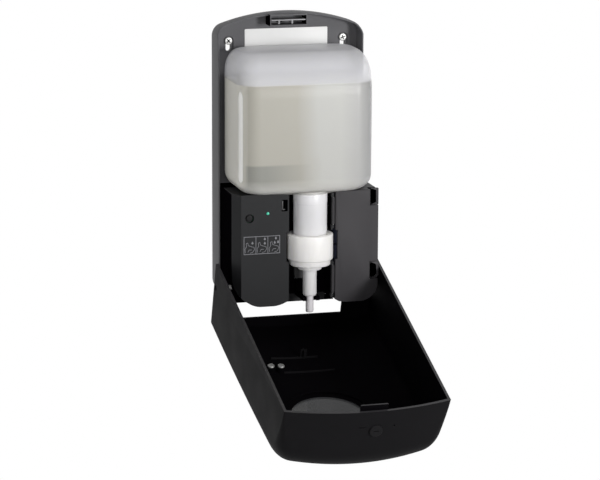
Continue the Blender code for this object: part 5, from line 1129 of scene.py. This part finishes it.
@dataclass
class CellBay:
    """Cell door with its hinge barrel and clasp loops, and the cells behind it."""

    left: float = 0.0302
    corner: float = 0.0162
    barrel: float = 0.00115
    barrel_spans: tuple = ((0.0094, 0.0358), (0.0743, 0.1000))
    clasp_half: float = 0.0084
    clasp_width: float = 0.0082
    clasp_reaches: tuple = (0.0001, 0.0008)
    clasp_corners: tuple = (0.0010, 0.0036)

    def outline(self) -> np.ndarray:
        """Front view of the door."""
        points = [(self.left, HOUSE_TOP), (self.left, 0.0042), (0.0330, 0.0012), (0.0390, 0.0),
                  (HOUSE_RIGHT, 0.0), (HOUSE_RIGHT, HOUSE_TOP)]
        return rounded(points, [0.0005, 0.0010, 0.002, 0.003, self.corner, 0.0010], 8)

    def clasp(self, door: Piece, centre: float, reach: float, corner: float) -> None:
        """Cut a notch in the door's edge and set a loop in it, whose hole is painted black as shade."""
        low, high = about(centre, self.clasp_half)
        left, right = HOUSE_RIGHT - self.clasp_width, HOUSE_RIGHT + reach
        back, inner = FACE - DOOR_THICKNESS + FIT, max(corner - 0.0014, 0.0003)
        combine(door, [block("notch", (left, HOUSE_RIGHT + OVERRUN), (0.05, FACE + OVERRUN), (low, high))])
        web = block("web", about(left, 0.0016), (back, back + 0.0008), about(centre, 0.003))
        ring = pad("loop", (left + 0.0006, right, low + 0.0005, high - 0.0005),
                   (0.0003, corner, corner, 0.0003), 8, both_round(back, FACE - 0.0003))
        combine(ring, [pad("hole", (left + 0.0007, right - 0.0024, low + 0.0028, high - 0.0024),
                           (0.0003, inner, inner, 0.0003), 8, flat(back + 0.0005, FACE + OVERRUN))])
        combine(door, [web, ring], Join.ADD)
        # The hole's walls and floor take the black second finish: painted shade.
        mark_region(door, (left + 0.0005, right - 0.0022), (back + 0.0003, FACE - 0.0004),
                    (low + 0.0026, high - 0.0022))

    def door(self) -> Piece:
        """Panel, leaves and barrels of the door."""
        door = slab("cell_door", self.outline(), edge_round(FACE - DOOR_THICKNESS, FACE, 0.0005, 3))
        notch = block("collar_notch", (self.left - OVERRUN, self.left + 0.0022), (0.05, 0.08), COLLAR_NOTCH)
        combine(door, [notch])
        adds, full, slim = [], self.barrel, self.barrel - 0.0002
        for low, high in self.barrel_spans:
            profile = [(0, low), (slim, low), (full, low + 0.0002), (full, high - 0.0002), (slim, high),
                       (0, high)]
            adds += [block("leaf", (DOOR_HINGE_SIDE, self.left + 0.002), (FACE - 0.0022, FACE - 0.0014),
                           (low + FIT, high - FIT)),
                     lathe("barrel", profile, at(DOOR_HINGE_SIDE, FACE - 0.0012, 0), steps=32)]
        combine(door, adds, Join.ADD)
        for centre, reach, corner in zip(CLASP_HEIGHTS, self.clasp_reaches, self.clasp_corners):
            self.clasp(door, centre, reach, corner)
        return door

    def build(self, shop: Workshop) -> None:
        """Make and dress the door and the cells."""
        shop.dress(self.door(), (DOOR_GREY, BLACK), "door", "charcoal_plastic", "battery_door", angle=32)
        shop.keep(JACKET, *(f"cell_{index}" for index in range(1, 5)))
        shop.keep(ZINC, "door_pin_lower", "door_pin_upper", "hinge_pin_left", "hinge_pin_right",
                  "cell_contact_lower", "cell_contact_upper")


@dataclass
class Refill:
    """Upside-down bottle with its soap, neck and pump."""

    half: float = 0.0638
    back: float = 0.0096
    front: float = 0.0884
    top: float = 0.2352
    corner: float = 0.0190
    wall: float = 0.0012
    shoulder: float = 0.0210
    shoulder_draw: float = 0.0115
    slope: float = 0.0400
    slope_draw: float = 0.0290
    heel: float = 0.0150
    neck: float = 0.01565
    neck_foot: float = 0.0960
    quarter_steps: int = 24

    def ring(self, draw: np.ndarray, lean: np.ndarray, height: np.ndarray, inset: float) -> np.ndarray:
        """Rings of a rounded rectangle drawn in by an amount at each height.

        A ring is four quarter arcs whose centres sit in from the corners by the corner
        radius; the radius falls by a third of the draw. The front has its own draw, lean.
        """
        draw, lean, height = (np.atleast_1d(value)[:, None] for value in (draw, lean, height))
        radius = np.maximum(self.corner - inset - draw / 3, self.corner / 3)
        side = self.half - inset - draw - radius
        near, far = self.back + inset + draw + radius, self.front - inset - lean - radius
        turn = np.linspace(0, np.pi / 2, self.quarter_steps)[None]
        pieces = []
        for quarter, (across, depth) in enumerate(((side, near), (side, far), (-side, far), (-side, near))):
            angle = turn + (quarter - 1) * np.pi / 2
            pieces.append(to_world(across + radius * np.cos(angle), depth + radius * np.sin(angle), height))
        return np.concatenate(pieces, axis=1)

    def neck_ring(self, radius: float, height: float) -> np.ndarray:
        """A circle round the pump's axis, in step with the bottle's rings."""
        share = (self.quarter_steps - 1) / self.quarter_steps
        quarter = np.linspace(0, np.pi / 2, self.quarter_steps) * share
        turn = np.concatenate([quarter + (step - 1) * np.pi / 2 for step in range(4)])
        side, front = PUMP_AXIS
        return to_world(side + radius * np.cos(turn), front + radius * np.sin(turn), height)[None]

    def sections(self, inset: float) -> tuple:
        """Draw, front draw and height of the rings: heel, straight sides, sloped front and shoulder."""
        heel = np.linspace(0, np.pi / 2, 10)
        roll = np.linspace(0, np.pi / 2 * 0.96, 30)
        low = (self.heel - inset) * (1 - np.sin(heel))
        high = self.top - self.slope + (self.slope - inset) * np.sin(roll)
        share = np.clip((high - self.top + self.shoulder) / self.shoulder, 0, 1)
        draw = np.concatenate((low, self.shoulder_draw * (1 - np.sqrt(1 - share ** 2))))
        lean = np.concatenate((low, self.slope_draw * (1 - np.cos(roll))))
        height = np.concatenate((BOTTLE_FOOT + inset + (self.heel - inset) * (1 - np.cos(heel)), high))
        return draw, lean, height

    def bottle(self) -> Piece:
        """Blown shell: neck, heel, sides and shoulder outside, and the same inside."""
        neck, wall = self.neck, self.wall
        outer = np.concatenate((
            self.neck_ring(neck, self.neck_foot), self.neck_ring(neck, BOTTLE_FOOT - 0.0012),
            self.neck_ring(neck + 0.0012, BOTTLE_FOOT), self.ring(*self.sections(0), 0)))
        inner = np.concatenate((
            self.ring(*self.sections(wall), wall)[::-1], self.neck_ring(neck - wall, BOTTLE_FOOT + wall),
            self.neck_ring(neck - wall, self.neck_foot)))
        columns = outer.shape[1]
        last = len(outer) * columns
        faces = ring_faces(len(outer), columns, False, True)
        faces += ring_faces(len(inner), columns, False, True, last)
        faces += [list(range(last - columns, last)), list(range(last, last + columns))]
        step, rim = np.arange(columns), last + (len(inner) - 1) * columns
        after = (step + 1) % columns
        faces += np.stack((step, after, rim + after, rim + step), axis=-1).tolist()
        return merge(new_object("refill_bottle", np.concatenate((outer, inner)), faces))

    def soap(self) -> Piece:
        """Soap up to its level, a little inside the wall."""
        inset = self.wall + FIT
        values = self.sections(inset)
        height = values[2]
        keep = height < SOAP_LEVEL
        rings = [np.append(value[keep], np.interp(SOAP_LEVEL, height, value)) for value in values]
        return merge(skin("soap_fill", self.ring(*rings, inset)))

    @staticmethod
    def spun(name: str, corners: list, radii: float | list, count: int, steps: int = 96) -> Piece:
        """Piece turned about the pump's axis from a profile with rounded corners."""
        return lathe(name, rounded(corners, radii, count), at(*PUMP_AXIS, 0), steps=steps)

    def neck_tube(self) -> Piece:
        """Cream neck that runs down into the collar, with a thin bead near its top."""
        low, top, bead, bore = 0.0475, 0.1060, self.neck + 0.0002, self.neck - self.wall
        corners = [(self.neck, low), (self.neck, 0.0958), (bead, 0.0962), (bead, top), (bore, top),
                   (bore, low)]
        return self.spun("bottle_neck", corners, 0.0002, 2)

    def closure(self) -> Piece:
        """Collar with a softly rounded top, a stepped ring and a small flange."""
        bore, floor = 0.0067, 0.0457
        corners = [(0.02136, 0.0432), (0.02136, 0.0670), (0.0160, 0.0670), (0.0160, floor), (bore, floor),
                   (bore, 0.0332), (0.0110, 0.0332), (0.0110, 0.0376), (0.0190, 0.0376), (0.0190, 0.0432)]
        radii = [0.0008, 0.0012, 0.0002, 0.0002, 0.0002, 0.0003, 0.0006, 0.0004, 0.0008, 0.0003]
        return self.spun("pump_collar", corners, radii, 5, 128)

    def stem(self) -> Piece:
        """Hollow stem with its piston head."""
        foot, low, top = 0.0080, 0.0478, 0.0538
        corners = [(0.0056, foot), (0.0064, 0.0096), (0.0064, low), (0.0113, low), (0.0113, top),
                   (0.0022, top), (0.0022, foot)]
        return self.spun("stem", corners, 0.0003, 3, 64)

    def tip(self) -> Piece:
        """Outlet with a rounded end."""
        foot, step, top = -0.0080, 0.0077, 0.0117
        corners = [(0.0037, foot), (0.0037, step), (0.0019, step), (0.0019, top), (0.00095, top),
                   (0.00095, foot)]
        return self.spun("outlet_tip", corners, [0.0016, 0.0003, 0.0001, 0.0002, 0.0001, 0.0004], 6, 48)

    def build(self, shop: Workshop) -> None:
        """Make and dress the bottle and the pump."""
        shop.dress(self.bottle(), (BOTTLE_WALL,), "refill", "natural_bottle", "bottle")
        shop.dress(self.soap(), (SOAP,), "refill", "soap_liquid", "soap")
        shop.dress(self.neck_tube(), (NECK_CREAM,), "refill", "natural_bottle")
        shop.dress(self.closure(), (WHITE_PUMP,), "refill", "white_plastic", "pump_closure")
        shop.dress(self.stem(), (PALE_STEM,), "stem", "pale_stem", "pump_stem")
        shop.dress(self.tip(), (TIP_GREY,), "stem", "grey_acetal", "nozzle_tip")
        shop.keep(WHITE_PUMP, "pump_cylinder")
        shop.keep(RUBBER, "gasket")
        shop.keep(ZINC, "valve_ball")


class Drive:
    """Geared lift in the channel and behind it."""

    @staticmethod
    def build(shop: Workshop) -> None:
        """Dress the drive's pieces."""
        shop.keep(CARRIAGE_GREY, "lift_carriage")
        shop.keep(BLACK, "lift_fork")
        shop.keep(WHITE_PUMP, "drive_gear", "idler_gear")
        shop.keep(BRASS, "motor_pinion")
        shop.keep(BLACK, "gear_frame")
        shop.keep(ZINC, "motor", "drive_shaft", "idler_shaft")


@dataclass
class Cover:
    """Deep front cover, shaped closed and then turned open about its hinge."""

    foot: float = 0.0090
    shift: float = -0.0014
    half_foot: float = 0.0771
    half_top: float = 0.0745
    side_height: float = 0.2462
    arch: float = 0.0098
    depth: float = 0.0667
    bulge: float = 0.0070
    top_drop: float = 0.0130
    top_round: float = 0.0300
    edge_foot: float = 0.0040
    edge_top: float = 0.0195
    edge_rim_share: float = 0.04
    wall: float = 0.0024
    rim_front: float = 0.0269
    pivot_front: float = 0.0494
    pivot_height: float = 0.0152
    angle: float = 108.4
    window_radius: float = 0.0350
    window_side: float = -0.0042
    window_height: float = 0.1590
    magnet_height: float = 0.0790
    magnet_rise: float = 0.0050
    magnet_sides: tuple = (-0.0388, -0.0292)
    star_side: float = -0.0021
    star_height: float = 0.0575
    ribs: tuple = ((0.0590, -0.0336, 0.0114), (0.0830, -0.0271, 0.0214))
    lock_side: float = 0.0074
    lock_depth: float = 0.0221

    def turned_open(self, item: Piece) -> Piece:
        """Turn a piece from the closed cover's place to the open one, in its mesh."""
        pivot = at(0, self.pivot_front, self.pivot_height)
        turn = Matrix.Rotation(np.radians(self.angle), 4, "X")
        turn = Matrix.Translation(pivot) @ turn @ Matrix.Translation(-pivot)
        item.data.transform(Matrix.Translation((self.shift, 0, 0)) @ turn)
        return item

    def half_at(self, height: np.ndarray) -> np.ndarray:
        """Half width at a height above the cover's foot."""
        return self.half_foot + (self.half_top - self.half_foot) * height / self.side_height

    def front_at(self, height: float, side: np.ndarray) -> np.ndarray:
        """Front distance of the outer face at a height and side distance."""
        share = side / self.half_at(height)
        return self.rim_front + self.depth + self.bulge * (1 - share ** 2)

    def body(self, name: str, inset: float, back_run: float, foot_run: float) -> Piece:
        """Solid form of the cover, moved inwards all round.

        At each share of the half width the profile runs from the rim's foot to the front,
        up the face, round the top and back along the sloping top to the rim. Near the
        cheeks the profile draws in along its own normal by a quarter round.
        """
        face_steps, round_steps, top_steps = 14, 22, 12
        share = np.sin(np.linspace(-np.pi / 2, np.pi / 2, 73))[:, None]
        bow = 1 - share ** 2
        depth = self.depth + self.bulge * bow - inset
        top = self.side_height + self.arch * bow - inset
        slope = self.top_drop / self.depth
        lean, radius = np.arctan(slope), self.top_round - inset
        centre_depth = depth - radius
        centre_height = top - slope * centre_depth - radius / np.cos(lean)
        sweep = np.linspace(0, np.pi / 2 - lean, round_steps)
        run = np.linspace(0, 1, top_steps)[1:]
        arc_d, arc_h = centre_depth + radius * np.cos(sweep), centre_height + radius * np.sin(sweep)
        end_d, end_h = arc_d[:, -1:], arc_h[:, -1:]
        face_d, face_h = np.repeat(depth, face_steps, axis=1), centre_height * np.linspace(0, 1, face_steps)
        along_d = np.concatenate((face_d, arc_d, end_d * (1 - run)), axis=1)
        along_h = np.concatenate((face_h, arc_h, end_h + (top - end_h) * run), axis=1)
        normal = np.concatenate((np.zeros(face_steps), sweep, np.full(top_steps - 1, sweep[-1])))
        half = self.half_at(along_h) - inset
        rise = np.clip(along_h / self.side_height, 0, 1) ** 2
        edge = self.edge_foot + (self.edge_top - self.edge_foot) * rise
        reach = np.clip(along_d / depth, 0, 1) ** 1.5
        edge = edge * (self.edge_rim_share + (1 - self.edge_rim_share) * reach)
        beside = np.maximum(edge - half * (1 - np.abs(share)), 0)
        trim = edge - np.sqrt(np.maximum(edge ** 2 - beside ** 2, 0))
        rings = np.stack((share * half, along_d - trim * np.cos(normal),
                          along_h - trim * np.sin(normal)), axis=-1)
        rings[:, 0, 2] = -foot_run
        low, back = rings[:, :1].copy(), rings[:, -1:].copy()
        low[..., 1] = back[..., 1] = -back_run
        back[..., 2] = along_h[:, -1:] + slope * back_run
        side, front, height = np.moveaxis(np.concatenate((low, rings, back), axis=1), -1, 0)
        return merge(skin(name, to_world(side, self.rim_front + front, self.foot + height)), 1e-7)

    def rib(self, height: float, left: float, right: float) -> Piece:
        """Low rib that follows the inside of the front."""
        side, level = np.linspace(left, right, 25), self.foot + height
        face = self.front_at(height, side) - self.wall
        outline = np.concatenate((np.stack((side, face + 0.0010), axis=-1),
                                  np.stack((side, face - 0.0016), axis=-1)[::-1]))
        steps = [(0.0002, level - 0.0007), (0, level - 0.0005), (0, level + 0.0005), (0.0002, level + 0.0007)]
        return slab("rib", outline, steps, Axis.UP)

    def seat(self, height: float, side: float) -> float:
        """Front distance of the inner face at a height and side distance."""
        return float(self.front_at(height, side)) - self.wall

    def magnet_seats(self) -> list:
        """World point of each magnet's axis, and the front distance of the wall behind it."""
        return [(at(side, 0, self.foot + self.magnet_height), self.seat(self.magnet_height, side))
                for side in self.magnet_sides]

    def shell(self) -> Piece:
        """Hollow shell with its foot opening, window seat, ribs, hook and lock hole."""
        shell = self.body("cover_body", 0, 0, 0)
        # The hollow's faces take the second finish: painted shade inside the cover.
        combine(shell, [mark_inner(self.body("hollow", self.wall, OVERRUN, -self.wall))])
        below = (self.foot - OVERRUN, self.foot + self.wall + OVERRUN)
        wide, rim = self.half_foot - self.wall - 0.0006, self.rim_front
        ledge = rim + 0.0492
        step = [(-wide, ledge), (-wide, rim - OVERRUN), (wide, rim - OVERRUN), (wide, 0.0705),
                (0.0690, 0.0723), (0.0650, 0.0741), (0.0600, 0.0756), (0.0545, ledge)]
        combine(shell, [slab("foot_opening", np.array(step), flat(*below), Axis.UP),
                        block("foot_notch", (-wide, 0.0482), (ledge - OVERRUN, rim + 0.0604), below)])
        pivot = at(0, self.pivot_front, self.pivot_height)
        centre = at(self.window_side, 0, self.foot + self.window_height)
        inner = self.seat(self.window_height, self.window_side)
        boss = [(0.0408, inner - 0.0026), (0.0428, inner - 0.0026), (0.0432, inner - 0.0022),
                (0.0432, inner + 0.00015), (0.0404, inner + 0.00015), (0.0404, inner - 0.0022)]
        adds = [lathe("boss", boss, centre, Axis.FRONT, 126), *self.hook()]
        for place, seat in self.magnet_seats():
            top, end = seat - self.magnet_rise, seat + 0.0008
            boss = [(0, top), (0.0040, top), (0.0044, top + 0.0004), (0.0044, end), (0, end)]
            adds.append(lathe("magnet_boss", boss, place, Axis.FRONT, 48))
        adds += [rod("hinge_boss", 0.0052, span, pivot, Axis.SIDE)
                 for span in ((-0.0763, -0.0665), (0.0721, 0.0763))]
        # The bosses, the tongue and the hinge bosses inside take the same painted shade.
        combine(shell, [mark_inner(add) for add in adds], Join.ADD)
        combine(shell, [*(self.rib(*rib) for rib in self.ribs), *self.star()], Join.ADD)
        cuts = [rod("window_hole", self.window_radius, (inner - 0.01, inner + self.wall + 0.004), centre,
                    Axis.FRONT, 130),
                rod("lock_hole", 0.0059, (-0.03, 0.008), self.lock_place()),
                rod("pin_bore", 0.0027, (-0.08, 0.08), pivot, Axis.SIDE, 40)]
        for place, seat in self.magnet_seats():
            top = seat - self.magnet_rise
            cuts.append(rod("magnet_pocket", 0.0035, (top - 0.004, top + 0.0010), place, Axis.FRONT, 40))
        for side, depth, wide, deep in ((0.0237, 0.0185, 0.0008, 0.0008), (-0.0052, 0.0180, 0.0030, 0.0004)):
            level = self.foot + self.side_height + self.arch - self.top_drop / self.depth * depth
            limits = (*about(side, wide), *about(rim + depth, deep))
            cuts.append(pad("mark", limits, 0.0007, 4, flat(level - 0.0022, level + OVERRUN), Axis.UP))
        combine(shell, cuts)
        # Painted highlight: the tongue's nose and the rim's faces take the third finish.
        mark_region(shell, about(0, 0.03), (rim - 0.0060, rim - 0.0040), (0.25, 0.27), 2)
        return mark_region(shell, about(0, 0.1), (rim - 0.0003, rim + 0.0002), (0, 0.3), 2)

    def star(self) -> list:
        """Small crossed blades that stand on the inside of the front."""
        side, height = self.star_side, self.foot + self.star_height
        seat = self.seat(self.star_height, side)
        return [block("blade", about(side, wide), (seat - 0.0085, seat + 0.0010), about(height, tall))
                for wide, tall in ((0.0030, 0.0005), (0.0005, 0.0030))]

    def hook(self) -> list:
        """Tongue that reaches over the plate's catch, and its root in the top wall."""
        left, right, low = -0.0086, 0.0162, CATCH_TOP + FIT
        front, nose = self.rim_front + 0.0044, self.rim_front - 0.0046
        tongue = pad("tongue", (left, right, nose, front), 0.0006, 4, both_round(low, low + 0.0012), Axis.UP)
        root = block("tongue_root", (left - 0.0110, right - FIT), (front - 0.0018, front - FIT),
                     (low + FIT, self.foot + self.side_height + self.arch - self.wall))
        return [tongue, root]

    def lock_place(self) -> Vector:
        """Point on the lock's axis at the closed cover's top face."""
        share = self.lock_side / self.half_top
        top = self.side_height + self.arch * (1 - share ** 2) - self.top_drop / self.depth * self.lock_depth
        return at(self.lock_side, self.rim_front + self.lock_depth, self.foot + top)

    def window(self) -> Piece:
        """Round window that follows the bulge of the front: a disc on a polar grid."""
        radius = np.linspace(0, self.window_radius - FIT, 24)[1:, None]
        turn = np.linspace(0, 2 * np.pi, 96, endpoint=False)[None]
        side = self.window_side + radius * np.cos(turn)
        height = self.foot + self.window_height + radius * np.sin(turn)
        face = self.front_at(self.window_height, side) - 0.0008
        outer, inner = to_world(side, face, height), to_world(side, face - 0.0014, height)
        return merge(skin("sight_glass", np.concatenate((inner, outer[::-1]))))

    def lock_barrel(self) -> Piece:
        """Barrel with a keyway, and the post behind it."""
        place, radius = self.lock_place(), 0.0058
        head = 0.0006 + self.top_drop / self.depth * radius
        corners = [(0, -0.0115), (0.0020, -0.0115), (0.0020, -0.0095), (radius, -0.0095), (radius, head),
                   (0, head)]
        profile = rounded(corners, [0, 0.0002, 0.0001, 0.0003, 0.0005, 0], 4, False)
        barrel = lathe("lock_plug", profile, place, steps=56)
        top = place.z + PLATE_HEIGHT / 2 + head
        return combine(barrel, [block("keyway", about(place.x, 0.0026), about(-place.y, 0.0004),
                                      (top - 0.0010, top + OVERRUN))])

    def magnet(self, index: int, place: Vector, seat: float) -> Piece:
        """Small bright disc in its boss."""
        face = seat - self.magnet_rise + 0.0007
        profile = [(0, face - 0.0018), (0.0028, face - 0.0018), (0.0032, face - 0.0014), (0.0032, face),
                   (0, face)]
        return lathe(f"magnet_disc_{index}", profile, place, Axis.FRONT, 40)

    def build(self, shop: Workshop) -> None:
        """Make, open and dress the cover's pieces."""
        pieces = (self.shell(), self.window(), self.lock_barrel())
        shell, window, lock = (self.turned_open(piece) for piece in pieces)
        shop.dress(shell, (COVER_BLACK, COVER_PAINTED_SHADE, COVER_PAINTED_HIGHLIGHT), "cover", "black_plastic", "cover_shell",
                   angle=38)
        shop.dress(window, (SMOKED,), "cover", "smoked_window", "sight_window")
        shop.dress(lock, (LOCK_DARK,), "lock", "black_plastic", "lock_barrel", angle=35)
        for index, (place, seat) in enumerate(self.magnet_seats(), start=1):
            shop.dress(self.turned_open(self.magnet(index, place, seat)), (ZINC,), "cover", "zinc_steel",
                       f"cover_magnet_{index}", angle=35)
        shop.keep(ZINC, "lock_cam")


@dataclass
class Studio:
    """White sweep, soft lights and the camera."""

    azimuth: float = -15.47
    elevation: float = 12.24
    roll: float = 0.23
    lens: float = 163.6
    sensor: float = 36.0
    eye: tuple = (-0.6582, 2.4359, 0.5936)
    floor_gap: float = 0.030
    air: float = 0.16

    def camera(self) -> None:
        """Camera at the photograph's place, turned by its azimuth, elevation and roll."""
        data = bpy.data.cameras.new("studio_camera")
        data.lens = self.lens
        data.sensor_width = self.sensor
        data.clip_end = 20.0
        camera = linked("studio_camera", data)
        a, e, r = np.radians((self.azimuth, self.elevation, self.roll))
        back = Vector((np.sin(a) * np.cos(e), -np.cos(a) * np.cos(e), np.sin(e)))
        right = Vector((np.cos(a), np.sin(a), 0))
        tilted = right * np.cos(r) + back.cross(right) * np.sin(r)
        turn = Matrix((tilted, back.cross(tilted), back)).transposed().to_4x4()
        camera.matrix_world = Matrix.Translation(at(*self.eye)) @ turn
        bpy.context.scene.camera = camera

    @staticmethod
    def white(name: str) -> bpy.types.Material:
        """White that shows as pure white to the camera and in mirrors, and is plain paint to light."""
        made = bpy.data.materials.new(name)
        made.use_nodes = True
        nodes = made.node_tree.nodes
        nodes.remove(nodes["Principled BSDF"])
        bench = NodeBench(made.node_tree)
        paint = bench.add("ShaderNodeBsdfDiffuse", {"Color": (0.80, 0.80, 0.80, 1.0)}).outputs["BSDF"]
        glow = bench.add("ShaderNodeEmission", {"Strength": 1.0}).outputs["Emission"]
        path = bench.add("ShaderNodeLightPath").outputs
        seen = bench.math("MAXIMUM", path["Is Camera Ray"], path["Is Glossy Ray"])
        seen = bench.math("MAXIMUM", seen, path["Is Transmission Ray"])
        front = bench.add("ShaderNodeMixShader", {0: seen, 1: paint, 2: glow}).outputs["Shader"]
        behind = bench.add("ShaderNodeNewGeometry").outputs["Backfacing"]
        clear = bench.add("ShaderNodeBsdfTransparent").outputs["BSDF"]
        one_sided = bench.add("ShaderNodeMixShader", {0: behind, 1: front, 2: clear}).outputs["Shader"]
        bench.put(nodes["Material Output"], {"Surface": one_sided})
        return made

    def sweep(self) -> None:
        """Floor well under the part and a wall-wide backdrop behind it, in one curved sheet."""
        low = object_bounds()[0][2] - self.floor_gap
        run = np.array([(-3.0, low), (0.9, low), (1.15, low + 0.04), (1.32, low + 0.15), (1.40, low + 0.35),
                        (1.42, low + 3.0)])
        side = np.linspace(-3.5, 3.5, 8)
        points = np.stack(np.broadcast_arrays(side[None], run[:, :1], run[:, 1:]), axis=-1)
        mesh = bpy.data.meshes.new("studio_sweep")
        mesh.from_pydata(points.reshape(-1, 3).tolist(), [], ring_faces(len(run), len(side), False, False))
        if mesh.polygons[0].normal.z < 0:
            mesh.flip_normals()
        mesh.shade_smooth()
        mesh.materials.append(self.white("studio_white"))
        sheet = linked("studio_sweep", mesh)
        sheet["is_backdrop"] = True

    @staticmethod
    def lamp(name: str, place: tuple, target: tuple, size: tuple, power: float) -> None:
        """Rectangular soft light that faces a target."""
        data = bpy.data.lights.new(name, "AREA")
        data.shape = "RECTANGLE"
        data.size, data.size_y = size
        data.energy = power
        lamp = linked(name, data)
        lamp.location = place
        lamp.rotation_euler = (Vector(target) - Vector(place)).to_track_quat("-Z", "Y").to_euler()

    def build(self) -> None:
        """Make the studio."""
        self.camera()
        self.sweep()
        world = bpy.data.worlds.new("studio_air")
        bpy.context.scene.world = world
        world.use_nodes = True
        bench = NodeBench(world.node_tree)
        path = bench.add("ShaderNodeLightPath").outputs["Is Camera Ray"]
        bench.put(world.node_tree.nodes["Background"],
                  {"Color": (1, 1, 1, 1), "Strength": bench.math("MAXIMUM", path, self.air)})
        self.lamp("key", (0.95, -1.92, 0.20), (0, -0.05, 0), (0.45, 0.55), 32)
        self.lamp("front", (-0.45, -2.20, 0.32), (0, -0.05, 0), (0.50, 0.50), 9)
        self.lamp("fill", (-2.2, -0.95, 0.35), (0, -0.05, 0.05), (1.2, 1.6), 9)
        self.lamp("top", (0.1, -0.7, 2.0), (0, -0.1, 0), (1.6, 1.2), 10)
        bpy.context.scene.view_settings.view_transform = "Standard"


def main() -> None:
    """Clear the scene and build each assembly."""
    logging.basicConfig(level=logging.INFO, format="%(message)s")
    for item in list(bpy.data.objects):
        bpy.data.objects.remove(item)
    shop = Workshop()
    Studio().build()
    for assembly in (WallPlate(), Housing(), Refill(), Drive(), Cover()):
        LOG.info("building %s", type(assembly).__name__)
        assembly.build(shop)


if __name__ == "__main__":
    main()
